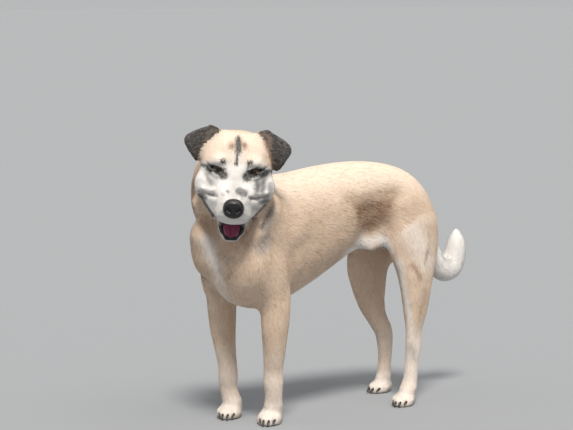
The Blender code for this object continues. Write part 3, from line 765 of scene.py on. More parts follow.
# painted shade in the gaps between the cheeks and the neck, in the head's frame
sideShadeLines = [
    ([(8.9, 2.6, 0.6), (9.3, 1.8, -1.6), (9.4, 1.4, -4.2), (8.9, 0.4, -6.6)], 0.62, 0.75),
    # painted shade: the dark line from under each ear down behind the cheek, in the gap between cheek and neck
    (
        [(9.3, 4.6, 0.6), (9.3, 3.8, -0.6), (10.3, 5.0, -3.2), (10.3, 5.5, -6.0)]
        + [(9.6, 3.0, -8.4), (8.5, 0.4, -10.2), (6.9, -2.3, -12.4)],
        0.75,
        0.9,
    ),
    ([(-9.6, 5.2, 0.6), (-9.7, 4.3, -1.5), (-10.4, 5.5, -5.5), (-9.6, 6.5, -9.0)], 0.8, 0.9),
]
# strokes on the body, some of them painted shade in creases and in the flank hollow
bodyMarks = {
    "brown": [
        ([(12.9, 16.4, 36.9), (13.3, 17.6, 35.4), (13.6, 18.7, 33.6)], 0.95, 0.75),
        ([(13.1, 22.4, 44.2), (13.2, 22.3, 42), (13.3, 21.9, 40.4), (13.5, 20.4, 36.8)], 0.42, 0.75),
        # painted shade in the crease between chest and left arm
        ([(3.4, -38.5, 38.6), (6.2, -37.7, 35.0), (5.9, -35.6, 32.0), (5.2, -33, 29.5)], 0.5, 0.85),
        ([(8.1, -37.7, 40.5), (6.5, -38.0, 38.3)], 0.42, 0.8),
        ([(-3.6, -35.5, 34.0), (-3.8, -33.4, 30.5)], 1.8, 0.35),
        ([(11.6, 22.8, 41)], 1.4, 0.3),
    ],
    "grey": [
        ([(12.2, 17.2, 15.6), (12.9, 17.9, 12.8)], 1.1, 0.5),
        # painted shade in the fold at the breast bone
        ([(1.0, -38.5, 39.3), (-1.8, -38.4, 38.0)], 0.55, 0.6),
        ([(3.7, -37.2, 44.1), (6.5, -37.0, 42.6)], 0.8, 0.4),
        # painted shade in the flank hollow
        ([(9.0, 3.2, 48.8), (9.0, 9.0, 49.0)], 2.1, 0.65),
    ],
}
# painted shade: grey on the left of the neck under the head, brown on the neck's shaded right side
neckShadeMarks = {  # these run on from the neck over the back of the cheek
    "grey": [([(10.4, -27.6, 52.0), (11.0, -29.2, 49.7), (11.4, -29.8, 47.2), (11.0, -32.4, 45.2)], 1.9, 0.7)],
    "brown": [
        (
            [(-6.5, -38.5, 59.4), (-6.4, -38.4, 57.4), (-6.3, -38.2, 55), (-6.6, -37.7, 52.5), (-6.6, -37.2, 50.0)],
            1.2,
            0.95,
        )
    ],
}
bodyAreas = {  # larger soft areas in the dog's own frame: line and width
    "chest": ([(-0.9, -38.6, 46.5), (0.1, -38, 43.4), (2.2, -38.4, 39.8)], 1.7),
    "breast": ([(2.6, -38.4, 39.6), (1.0, -35, 31)], 2.6),
    "groin": ([(7.6, 3.0, 42.8), (8.0, 6.8, 43.2), (8.4, 9.8, 43.0), (8.2, 12.1, 41.2)], 1.6),
    "shin": ([(10.9, 13.4, 37.5), (11.0, 15.0, 31), (11.8, 16.2, 24.5), (11.8, 16.6, 19)], 1.15),
    # the bulge of the thigh, where painted light is laid
    "thigh": ([(12.4, 17, 45), (13.4, 21, 38)], 4.0),
    "seat": ([(8.6, 24.5, 44), (9.4, 26, 36), (10, 24, 28)], 2.2),
    # painted shade in the flank hollow on each side
    "flankShadeLeft": ([(8.8, 3, 50.5), (8.4, 5, 44.5), (8.6, 9.0, 48)], 3.0),
    "flankShadeRight": ([(-8.8, 3, 50.5), (-8.4, 5, 44.5), (-8.6, 9, 48)], 3.0),
    "loin": ([(8.3, -2.6, 54.6), (9.0, 4, 54.4), (9.4, 12, 55.4)], 1.5),
    "calf": ([(13.9, 20.6, 29.5), (13.6, 19.6, 24.4), (13.0, 18.9, 19)], 1.3),
    # painted shade on both sides of the neck under the head
    "neckShadeLeft": ([(8.6, -25.6, 57.4), (9.6, -29.6, 51.0), (9.6, -32.0, 47.4)], 1.5),
    "neckShadeRight": ([(-7.3, -38.2, 58.6), (-6.0, -39.5, 53), (-4.5, -40, 47)], 1.3),
}
browPatches = ([(-4.4, -0.6, 2.9), (-2.6, -1.0, 2.4)], [(2.4, -1.0, 2.5), (5.2, -0.3, 2.8)])
# outline of the painted shade in the flank hollow
flankShadeOutline = [(-1.0, 53.0), (12.8, 53.8), (10.8, 48.6), (6.8, 44.8), (1.2, 47.4)]  # along and up
earEdge = [(5.6, 6.8, 8.2), (7.0, 6.2, 7.4), (7.1, 6.1, 5.0)]
besideEar = [(6.5, 5, 7.1), (7.9, 5, 3.5), (8.7, 5, 0.2)]
lipLine = [(3.8, -6.6, -8.8), (4.8, -4.6, -8.9), (5.8, -2.4, -8.8), (6.9, -0.6, -8.2), (8.0, 0.6, -7.2)]


faceSlant = (0.423, 0.906)  # the way up the face, leaning back by 25 degrees


def faceOn(spots):
    spots = np.asarray(spots, float)
    return np.column_stack([spots[:, 0], spots[:, 2] * faceSlant[1] + spots[:, 1] * faceSlant[0]])


def wedgeOf(spots):
    # how far a place in the head's frame lies outside the gap of the open mouth
    corner = np.array((0, 1.6, -8.9))
    slope = np.array((0, -17.6, -8.7))
    down = np.array((0, slope[2], -slope[1]))
    down = -down / np.linalg.norm(down)
    lower = (spots - corner) @ down
    return np.maximum.reduce([spots[:, 2] - corner[2], lower, spots[:, 1] - corner[1]])


def markings(places, labels):
    # eight layers over the plain fawn coat, each from 0 to 1
    head, whole = inside(headFrame, places), inside(dogFrame, places)
    x, y, z = head.T
    across, along, up = whole.T
    ahead = faceOn(head)
    front = ahead[:, 1]
    folded = np.column_stack([np.abs(x), y, z])
    skull = among(labels, "head", "lower_jaw", "nose", "ear").astype(float)
    jaw, ear, neck = among(labels, "lower_jaw"), among(labels, "ear"), among(labels, "neck")
    rear, fore = among(labels, "hindleg", "hindpaw"), among(labels, "foreleg", "forepaw")
    layers = {}

    def area(name):
        return dab(whole, *bodyAreas[name])

    def add(name, values):
        layers[name] = np.maximum(layers[name], values)

    # white
    rim = np.where(np.abs(x) > 4.1, -10.8 + 1.21 * (np.abs(x) - 4.1), -14)
    face = skull * ramp(front, 2.9, 1.7) * ramp(y, 3.6, 1.4) * (~jaw) * ramp(front - rim, -0.3, 0.3)
    brows = skull * sum(dab(head, line, 1.0) for line in browPatches) * 0.9
    middle = skull * dab(head, [(0, -1.5, 2.0), (0, 0.6, 4.4)], 1.5) * 0.8
    chin = jaw * ramp(wedgeOf(head), 1.7, 0.9)
    chest = np.maximum(area("chest"), 0.5 * area("breast")) * 0.9
    under = among(labels, "trunk") * ramp(up, 43.0, 40.5) * ramp(along, -4, 2) * ramp(np.abs(across), 8.8, 7.0)
    belly = ramp(up, 36.5, 33.0) * ramp(along, -22, -14) * ramp(along, 2, -3) * ramp(np.abs(across), 6, 3) * 0.7
    tail = among(labels, "tail") * ramp(up, 56, 46)
    shin = np.maximum(rear * ramp(up, 25, 15) * np.where(across > 3, 0.5, 0.25), 0.85 * rear * area("shin"))
    # painted light: the bulge of the thigh is made paler where it catches the light
    thigh = 0.45 * rear * area("thigh")
    paws = ramp(up, 9, 4) * 0.6
    wrist = fore * ramp(up, 24, 10) * 0.35
    seat = rear * area("seat") * 0.75
    white = [face, brows, middle, chin, chest, under, belly, tail, shin, paws, wrist, seat, area("groin"), thigh]
    layers["white"] = np.maximum.reduce(white)
    # cream on the crown and the jaw, and painted light along the top of the back, the neck and the hind legs; sand as
    # painted shade along the flank, on the lower side and on the throat, and sand on the calf and the loin
    crown = skull * ramp(y, 9, 5) * ramp(front, 1.0, 3.0)
    # painted light: the top of the back and of the neck is made lighter where the light falls on it
    top = among(labels, "trunk", "neck") * ramp(up, 52, 59) * 0.85
    # the top of the hind legs is made lighter as well, as painted light
    layers["cream"] = np.maximum.reduce([crown, top, rear * ramp(up, 44, 52) * 0.5, jaw * 0.3])
    # painted shade in the flank hollow, in sand
    flank = (area("flankShadeLeft") + area("flankShadeRight")) * 0.75
    # painted shade on the lower side of the trunk, which turns away from the light
    side = among(labels, "trunk") * ramp(up, 55, 48) * ramp(up, 35, 40) * 0.35
    # painted shade on the front of the neck, under the head
    throatShade = neck * ramp(along, -33, -37) * 0.5
    layers["sand"] = np.maximum.reduce([flank, side, throatShade, area("calf") * 0.75, 0.8 * area("loin")])
    # the strokes of the face
    for name in ("grey", "brown", "dark", "black"):
        total = np.zeros(len(places))
        for line, width, strength in faceMarks[name]:
            total = np.maximum(total, strength * dab(ahead, faceOn(line), width))
        layers[name] = np.minimum(total, 1) * skull * ramp(y, 6.0, 5.0) * (z > -9)
    # painted shade between cheek and neck
    for line, width, strength in sideShadeLines:
        add("dark", strength * dab(head, line, width) * (among(labels, "head", "neck")))
    # painted shade on the neck below the head
    add("grey", np.maximum(neck * 0.75 * area("neckShadeLeft"), neck * 0.6 * area("neckShadeRight")))
    # ears: near black, with a tan edge towards the crown
    lap = np.abs(x) - 4.6
    tan = dab(folded, earEdge, 0.45)
    add("dark", ear * ramp(lap, -0.4, 0.4))
    add("brown", ear * tan * np.where(x > 0, 0.9, 0.25) + ear * ramp(lap, 1.2, -0.2) * 0.5)
    layers["dark"] = layers["dark"] * (1 - ear * tan * np.where(x > 0, 0.85, 0.3))
    # under the left ear's flap the head is painted as dark as the ear
    beside = faceOn(besideEar)
    edge = skull * ramp(y, 0.5, 2.5) * (~ear)
    add("brown", 0.95 * edge * np.minimum(1.3 * dab(ahead, beside, 0.8), 1))
    add("dark", 0.7 * edge * np.minimum(1.3 * dab(ahead, beside + (0.6, 0), 0.7), 1))
    # painted shade in the flank hollow, weaker on the right, and the marks of body and neck, among them painted shade
    # in creases and on the neck
    hollow = within(whole[:, 1:], flankShadeOutline, 1.5) * ramp(np.abs(across), 4.5, 7.0)
    add("brown", 0.95 * (hollow * np.where(across > 0, 1, 0.45)))
    for marks, where in ((bodyMarks, 1 - skull), (neckShadeMarks, 1)):
        for name, strokes in marks.items():
            for line, width, strength in strokes:
                add(name, strength * dab(whole, line, width) * where)
    # lips and mouth
    gap, mouthPart = wedgeOf(head), among(labels, "head", "lower_jaw")
    mouthZone = (mouthPart & (np.abs(x) < 8.2) & (y < 3)) * ramp(y, -2.4, -4.2)
    add("black", mouthZone * ramp(gap, 0.62 + 0.3 * jaw, 0.35 + 0.3 * jaw))
    add("black", np.minimum(dab(folded, lipLine, 0.34) * 1.3 * mouthPart, 1))
    add("black", among(labels, "nose") * 1.0)
    layers["mouth"] = mouthZone * ramp(gap, 0.2, 0.0) * ramp(np.abs(x), 5.2, 3.8)
    return layers


def markLayers(places, labels, blur=0.0):
    if blur:
        places = places + chance.normal(0, blur, places.shape)
    layers = markings(places, labels)
    pale = np.column_stack([layers[name] for name in ("cream", "sand", "white", "grey")])
    deep = np.column_stack([layers[name] for name in ("brown", "dark", "black", "mouth")])
    return np.clip(pale, 0, 1), np.clip(deep, 0, 1)


def paint(mesh, pale, deep):
    setLayer(mesh, "marksPale", pale)
    setLayer(mesh, "marksDeep", deep)


pelt = {  # colours of the coat, as light in linear terms
    "fawn": rgb(0.60, 0.435, 0.305),
    # cream also paints light on the top of the back, the neck and the hind legs
    "cream": rgb(0.78, 0.63, 0.50),
    # sand paints shade in the flank hollow, on the lower side and on the throat, and colours the calf and the loin
    "sand": rgb(0.38, 0.255, 0.165),
    "white": rgb(0.82, 0.80, 0.77),
    # grey and brown also paint shade in creases, in the flank hollow and on the neck
    "grey": rgb(0.13, 0.125, 0.125),
    "brown": rgb(0.25, 0.135, 0.065),
    # dark also paints the shade between cheek and neck
    "dark": rgb(0.034, 0.028, 0.027),
    "black": rgb(0.010, 0.009, 0.009),
    "mouth": rgb(0.12, 0.03, 0.04),
}


def peltColour(look):
    cream, sand, white, grey = look.marks("marksPale")
    brown, dark, black, mouth = look.marks("marksDeep")
    drift = look.noise(22, 3)
    fleck = look.noise(420, 2)
    colour = look.mix(drift.between(0.3, 0.75) * 0.35, pelt["fawn"], pelt["cream"])
    for mask, name, ragged in (
        (cream, "cream", 0.3),
        (sand, "sand", 0.5),
        (white, "white", 0.35),
        (grey, "grey", 0.9),
        (brown, "brown", 0.5),
        (dark, "dark", 0.4),
        (black, "black", 0.1),
        (mouth, "mouth", 0.0),
    ):
        share = (mask + (fleck - 0.5) * mask * ragged).clamped() if ragged else mask
        colour = look.mix(share, colour, pelt[name])
    return colour


skinLook = Look("skinHide", Roughness=0.62, Specular_IOR_Level=0.35)
hideGrain = skinLook.noise(650, 3)
skinColour = skinLook.mix(hideGrain * 0.25, peltColour(skinLook), rgb(0.10, 0.07, 0.05), "MULTIPLY")
wet = skinLook.marks("marksDeep")
skinLook.feed(
    Base_Color=skinColour,
    Roughness=0.66 - wet[2] * 0.22 - wet[3] * 0.2,
    Normal=skinLook.bump(hideGrain, 0.5, 0.0012),
)
spots, facing, faces = nearest(solids, skinPlaces)
label = owners[faces]
pale, deep = markLayers(skinPlaces, label)
skin = newObject("skin", skinMesh)
paint(skinMesh, pale, deep)
skinMesh.materials.append(skinLook.material)
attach(skin, "root")
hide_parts(*fleshNodes, "tail")
report("skin marked")

# eyes
eyeLook = Look("eyeAmber", Roughness=0.3, Specular_IOR_Level=0.2, Coat_Weight=0.3, Coat_Roughness=0.03)
polar = eyeLook.layer("polar")
rays = eyeLook.noise(1, 4, 0.7, eyeLook.layer("rays", "Vector"))
amber = eyeLook.mix(rays.between(0.35, 0.7), rgb(0.045, 0.017, 0.008), rgb(0.15, 0.06, 0.021))
amber = eyeLook.mix(polar.between(0.38, 0.54), amber, rgb(0.012, 0.006, 0.004))
eyeColour = eyeLook.mix(polar.between(0.22, 0.27), rgb(0.001, 0.001, 0.001), amber)
# the white of the eye is painted near black brown: painted shade from the lids
scleraInLidShade = eyeLook.mix(rays.between(0.45, 0.75), rgb(0.05, 0.035, 0.028), rgb(0.03, 0.014, 0.010))
eyeColour = eyeLook.mix(polar.between(0.58, 0.66), eyeColour, scleraInLidShade)
eyeLook.feed(Base_Color=eyeColour)
lidLook = Look("eyeLids", Roughness=0.42, Specular_IOR_Level=0.5)
lidBlack = lidLook.layer("rim")
lidGrain = lidLook.noise(900, 2)
lidTone = lidLook.mix(lidBlack, peltColour(lidLook), rgb(0.008, 0.007, 0.007))
lidLook.feed(Base_Color=lidTone, Roughness=0.62 - lidBlack * 0.3, Normal=lidLook.bump(lidGrain, 0.25, 0.0006))
skinTree = BVHTree.FromPolygons(skinPlaces.tolist(), trianglesOf(skinMesh).tolist())


def eyeRays(eye, tilt, turn):
    # directions at an angle tilt from the gaze, spread round it
    spokes = np.cos(turn)[:, None] * eye["across"] + np.sin(turn)[:, None] * eye["above"]
    tilt = np.reshape(tilt, (-1, 1))
    return np.cos(tilt) * eye["gaze"] + np.sin(tilt) * spokes


def eyePiece(name, eye, rings, closed=True):
    places, loops = lofted(rings, closed)
    if eye["sign"] < 0:
        loops = [loop[::-1] for loop in loops]
    return meshFrom(name, outside(headFrame, places), loops)


lidRings = (
    # share of the opening's angle, share of the eyeball's radius, blackness; from behind the margin outwards
    (0.86, 0.96, 1),
    (0.97, 0.99, 1),
    (1.0, 1.035, 1),
    (1.05, 1.075, 1),
    (1.14, 1.10, 1),
    (1.28, 1.12, 1),
    (1.44, 1.13, 1),
    (1.6, 1.15, 0.6),
)
for side, eye in eyes.items():
    radius = eyePlan["radius"]
    steps = np.concatenate([np.linspace(0.02, 0.75, 26), np.linspace(0.8, math.pi - 0.05, 22)])
    turn = np.linspace(0, 2 * math.pi, 64, endpoint=False)
    rings = []
    for step in steps:
        bulge = radius * (1 + 0.045 * math.exp(-((step / 0.5) ** 4)))
        rings.append(eye["centre"] + eyeRays(eye, step, turn) * bulge)
    globe = eyePiece(f"eyeball_{side}", eye, rings)
    polarValues = np.repeat(steps, len(turn))
    setLayer(globe.data, "polar", polarValues)
    wheel = np.tile(turn, len(steps))
    spokes = np.column_stack([np.cos(wheel) * 9, np.sin(wheel) * 9, polarValues * 3 + eye["sign"]])
    setLayer(globe.data, "rays", spokes)
    globe.data.materials.append(eyeLook.material)
    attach(globe, "root")
    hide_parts(f"eye_{side}")
    turn = np.linspace(0, 2 * math.pi, 72, endpoint=False)
    edge = lidAngle(turn)
    rings, rim = [], []
    for spread, size, black in lidRings:
        ring = eye["centre"] + eyeRays(eye, np.minimum(edge * spread, 1.9), turn) * radius * size
        share = float(np.clip((spread - 1.14) / 0.46, 0, 1))
        if share:
            hits = nearest(skinTree, outside(headFrame, ring))
            laid = inside(headFrame, hits[0] - hits[1] * (0.0006 * share))
            ring = ring * (1 - share) + laid * share
        rings.append(ring)
        rim += [black] * len(turn)
    lids = eyePiece(f"eyelids_{side}", eye, rings, closed=False)
    setLayer(lids.data, "rim", rim)
    paint(lids.data, *markLayers(pointsOf(lids.data), np.full(len(rim), labelNames.index("head"))))
    lids.data.materials.append(lidLook.material)
    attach(lids, "root")
report("eyes set")


# nose, tongue, claws
def sculpted(name, node, voxel, rounds, folds, space, swell=0.0):
    # a smooth copy of one solid with its own folds
    mesh = voxelled(name, [nodeShell(node, swell)], voxel)
    net = Web(mesh)
    places = net.soften(pointsOf(mesh), rounds)
    movePoints(mesh, places)
    spots, facing = inside(space, places), normalsOf(mesh)
    lift = sum(rise * dab(spots, line, width) for line, width, rise in folds)
    movePoints(mesh, places + facing * (lift * hand)[:, None])
    smoothShade(mesh)
    thing = newObject(name, mesh)
    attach(thing, "root")
    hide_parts(node)
    return thing


noseFolds = [
    ([(0, -12.3, -3.3), (0, -12.2, -6.2)], 0.16, -0.28),  # middle groove
    ([(0, -12.0, -2.6)], 0.8, 0.08),
]
for sign in (1, -1):
    noseFolds += [
        ([(0.95 * sign, -12.0, -4.5), (1.35 * sign, -11.9, -3.9)], 0.42, -0.62),  # nostril
        ([(1.5 * sign, -11.8, -4.3), (2.2 * sign, -11.1, -4.9), (2.5 * sign, -10.3, -5.0)], 0.24, -0.42),  # slit
        ([(1.2 * sign, -12.1, -3.1), (2.0 * sign, -11.5, -3.3)], 0.35, 0.14),  # wing
    ]
nose = sculpted("nose_leather", "nose", 0.0007, 12, noseFolds, headFrame, 0.0003)
noseLook = Look("noseLeather", Specular_IOR_Level=0.55, Coat_Roughness=0.25)
noseSkin = {"Vector": noseLook.where(), "Scale": 1500}
cells = noseLook.node("ShaderNodeTexVoronoi", {"feature": "DISTANCE_TO_EDGE"}, noseSkin)
noseLook.feed(
    Base_Color=noseLook.mix(cells.between(0.0, 0.25), rgb(0.002, 0.002, 0.002), rgb(0.006, 0.006, 0.006)),
    Roughness=0.34 - cells * 0.15,
    Normal=noseLook.bump(cells.between(0.0, 0.2), 0.14, 0.0004),
)
nose.data.materials.append(noseLook.material)

tongueFolds = [
    ([(0, 0, -7.2), (0, -5, -7.4), (0, -8.6, -8.0)], 0.35, -0.3),
    ([(1.2, -2, -7.3), (1.2, -8, -7.8)], 0.7, 0.1),
    ([(-1.2, -2, -7.3), (-1.2, -8, -7.8)], 0.7, 0.1),
]
tongue = sculpted("tongue_flesh", "tongue", 0.0009, 10, tongueFolds, jawFrame)
tongueLook = Look("tonguePink", Specular_IOR_Level=0.6, Coat_Roughness=0.15)
buds = tongueLook.noise(1500, 2)
# painted shade: the tongue darkens towards the back of the mouth
tongueBackShade = tongueLook.layer("backward")
tongueTone = tongueLook.mix(buds.between(0.35, 0.7), rgb(0.20, 0.030, 0.075), rgb(0.32, 0.055, 0.12))
tongueTone = tongueLook.mix(tongueBackShade, tongueTone, rgb(0.035, 0.006, 0.016))
tongueLook.feed(Base_Color=tongueTone, Roughness=0.34 + buds * 0.15, Normal=tongueLook.bump(buds, 0.4, 0.0005))
tongue.data.materials.append(tongueLook.material)
spots = inside(jawFrame, pointsOf(tongue.data))
# strength of the painted shade on the tongue, rising towards the back
setLayer(tongue.data, "backward", ramp(spots[:, 1], -6.8, -3.5) * 0.95)

clawLook = Look("clawHorn", Specular_IOR_Level=0.5)
growth = clawLook.noise(300, 3)
clawLook.feed(
    Base_Color=clawLook.mix(growth.between(0.3, 0.7), rgb(0.012, 0.010, 0.009), rgb(0.06, 0.045, 0.035)),
    Roughness=0.3 + growth * 0.2,
    Normal=clawLook.bump(growth, 0.2, 0.0004),
)
for leg in ("fore", "hind"):
    for side in ("left", "right"):
        names = [f"claw_{leg}_{side}_{i}" for i in range(1, 5)]
        claws = meshFrom(f"claws_{leg}_{side}", *joined([nodeShell(name, 0) for name in names]))
        sub = claws.modifiers.new("round", "SUBSURF")
        sub.levels = sub.render_levels = 2
        claws.data.materials.append(clawLook.material)
        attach(claws, "root")
        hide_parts(*names)
report("nose, tongue and claws made")

# the coat
coatPlan = {
    # layer: tufts to the square metre, length, width, thickness, height of the tip (metres), spread in degrees
    "trunk": (120000, 0.019, 0.0025, 0.0003, 0.0006, 5),
    "neck": (150000, 0.019, 0.0023, 0.0003, 0.0007, 6),
    "hindleg": (140000, 0.016, 0.0022, 0.0003, 0.0005, 6),
    "foreleg": (150000, 0.013, 0.0020, 0.0003, 0.0005, 6),
    "paw": (240000, 0.007, 0.0014, 0.0004, 0.0006, 9),
    "head": (260000, 0.0095, 0.0014, 0.0003, 0.0006, 7),
    "muzzle": (450000, 0.0058, 0.0010, 0.0003, 0.0005, 7),
    "ear": (340000, 0.0085, 0.0013, 0.0004, 0.0008, 8),
    "tail": (480000, 0.024, 0.0019, 0.0003, 0.0036, 6),
}
hairPlan = {
    "softness": 0.2,  # how far the sides of a tuft turn away from the skin's own facing
    "bend": 0.45,  # where the skin turns more than this under a tuft, the tuft is shorter
    "shorter": 0.42,
    "blur": 0.0011,  # metres by which the edge of a marking wanders from tuft to tuft
    "patch": 0.003,  # width of a tuft's patch, as a share of the flat layout
    "barest": 0.6,  # no tuft stands where the skin is barer than this
    "soles": 0.35,  # hands over the floor up to which the feet are bare
    "waft": 0.25,  # how unequal the tufts are in length
    "lieRounds": 5,
    "lieSteps": 9,
}


def flowAt(places, labels):
    whole, head = inside(dogFrame, places), inside(headFrame, places)
    x, y, z = whole.T
    flow = np.zeros_like(places)

    def put(mask, vectors):
        flow[mask] = unit(np.broadcast_to(vectors, (len(places), 3)))[mask]

    along = ramp(y, -35, -23)
    rump = ramp(y, 16, 29)
    low = ramp(z, 50, 36)
    trunk = np.column_stack([0 * x, along * (1 - 0.6 * rump), -(0.28 + 0.35 * low + 0.9 * (1 - along) + 0.9 * rump)])
    put(among(labels, "trunk"), trunk)
    put(among(labels, "neck"), np.column_stack([-0.25 + 0 * x, 0.35 + 0.5 * ramp(y, -38, -26), -0.9 + 0 * x]))
    put(among(labels, "foreleg"), np.column_stack([0 * x, 0.28 + 0 * x, -1 + 0 * x]))
    put(among(labels, "hindleg"), np.column_stack([0 * x, 0.15 + 0.45 * ramp(z, 24, 40), -1 + 0 * x]))
    for paw, angle in (("forepaw", 38), ("hindpaw_left", 26), ("hindpaw_right", 8)):
        heading = math.radians(angle)
        put(among(labels, paw), np.array((math.sin(heading), -math.cos(heading), -0.7)))
    rays = head - np.array((0, -21, -2))
    rays[:, 2] -= 2.2 * ramp(head[:, 1], -9, -2) * ramp(head[:, 2], 1, -3)
    turn = np.array(headFrame)[:3, :3]
    put(among(labels, "head", "lower_jaw", "nose"), rays @ turn.T)
    sign = np.sign(head[:, 0])
    lap = np.column_stack([sign, -0.12 + 0 * sign, -0.5 + 0 * sign])
    put(among(labels, "ear"), lap @ turn.T)
    line = tailPath[:, :3]
    gaps = np.array([reach(whole, line[i : i + 2]) for i in range(len(line) - 1)])
    put(among(labels, "tail"), np.diff(line, axis=0)[np.argmin(gaps, axis=0)])
    return unit(flow)


skinTriangles = trianglesOf(skinMesh)
skinNormals = normalsOf(skinMesh)
lie = flowAt(skinPlaces, label)
for _ in range(hairPlan["lieRounds"]):  # the lie of the coat turns gently from one part to the next
    lie = web.soften(lie, hairPlan["lieSteps"])
    lie = unit(square(lie, skinNormals))
corner = skinPlaces[skinTriangles]
areas = np.linalg.norm(np.cross(corner[:, 1] - corner[:, 0], corner[:, 2] - corner[:, 0]), axis=1) / 2
triangleLabel = label[skinTriangles[:, 0]]
spots = inside(headFrame, skinPlaces)
lipBlack = ramp(deep[:, 2], 0.75, 0.95) * (faceOn(spots)[:, 1] < -3)  # lips are bare, the black round the eyes isn't
bald = np.maximum(deep[:, 3], lipBlack)
for eye in eyes.values():
    far, off, around = eyeAngles(eye, spots)
    bald = np.maximum(bald, (far < 2.2 * eyePlan["radius"]) * ramp(off / lidAngle(around), 1.4, 1.25) * (off < 2.2))
bald = np.maximum(bald, among(label, "nose"))
bald = np.maximum(bald, (skinPlaces[:, 2] < hairPlan["soles"] * hand) * 1.0)
triangleBald = bald[skinTriangles].mean(axis=1)


def sampled(mask, density):
    chosen = np.where(mask & (triangleBald < hairPlan["barest"]))[0]
    size = areas[chosen] * (1 - triangleBald[chosen])
    count = int(size.sum() * density)
    pick = chosen[np.searchsorted(np.cumsum(size), chance.random(count) * size.sum()).clip(0, len(chosen) - 1)]
    a, b = chance.random((2, count))
    flip = a + b > 1
    a[flip], b[flip] = 1 - a[flip], 1 - b[flip]
    weights = np.column_stack([1 - a - b, a, b])
    rows = skinTriangles[pick]
    places = np.einsum("ij,ijk->ik", weights, skinPlaces[rows])
    facing = unit(np.einsum("ij,ijk->ik", weights, skinNormals[rows]))
    flow = np.einsum("ij,ijk->ik", weights, lie[rows])
    return places, facing, flow, triangleLabel[pick]


def unwrapped(places, labels):
    # a place on a flat layout of the skin: each part rolled open round its own axis, in its own cell
    flat = np.zeros((len(places), 2))
    whole, head = inside(dogFrame, places), inside(headFrame, places)
    used = np.unique(labels)
    grid = math.ceil(math.sqrt(len(used)))
    for slot, number in enumerate(used):
        mask = labels == number
        name = labelNames[number]
        if name.startswith(("head", "lower_jaw", "nose")):
            spots = head[mask] - np.array((0, 2, -2))
            a, b = np.arctan2(spots[:, 0], spots[:, 2]), spots[:, 1]
        elif name.startswith("ear"):
            spots = head[mask]
            a, b = spots[:, 0] + 14 * (spots[:, 1] > 6), spots[:, 2]
        elif name.startswith("tail"):
            spots = whole[mask]
            a, b = np.arctan2(spots[:, 0] - 4.4, spots[:, 1] - 33), spots[:, 2]
        elif name.startswith("trunk"):
            spots = whole[mask]
            a, b = np.arctan2(spots[:, 0], spots[:, 2] - 46), spots[:, 1]
        else:
            spots = whole[mask]
            a, b = np.arctan2(*(spots[:, :2] - np.median(spots[:, :2], axis=0)).T), spots[:, 2]
        for axis, values in enumerate((a, b)):
            span = max(values.max() - values.min(), 1e-6)
            cell = (slot % grid, slot // grid)[axis]
            flat[mask, axis] = (cell + 0.03 + 0.94 * (values - values.min()) / span) / grid
    return flat


coatLook = Look("coatHair", Specular_IOR_Level=0.3)
strandShade, strandAlong, strandTint = coatLook.marks("strand")[:3]
hair = peltColour(coatLook)
hair = coatLook.mix((1 - strandAlong) * 0.28, hair, rgb(0.45, 0.38, 0.33), "MULTIPLY")
hair = coatLook.mix(strandShade * 0.22, hair, rgb(0.6, 0.54, 0.5), "MULTIPLY")
hair = coatLook.mix(strandTint * strandAlong * 0.22, hair, rgb(1.0, 0.96, 0.90), "SCREEN")
coatLook.feed(
    Base_Color=hair,
    Roughness=0.55 + strandShade * 0.15,
    Normal=coatLook.bump(coatLook.noise(1400, 2), 0.3, 0.0004),
)
# a tuft has two corners and a ridge at its root, the same at its middle, and a tip
tuftFaces = np.array(
    [(0, 2, 1), (0, 1, 4), (0, 4, 3), (1, 2, 5), (1, 5, 4), (2, 0, 3), (2, 3, 5), (3, 4, 6), (4, 5, 6), (5, 3, 6)]
)


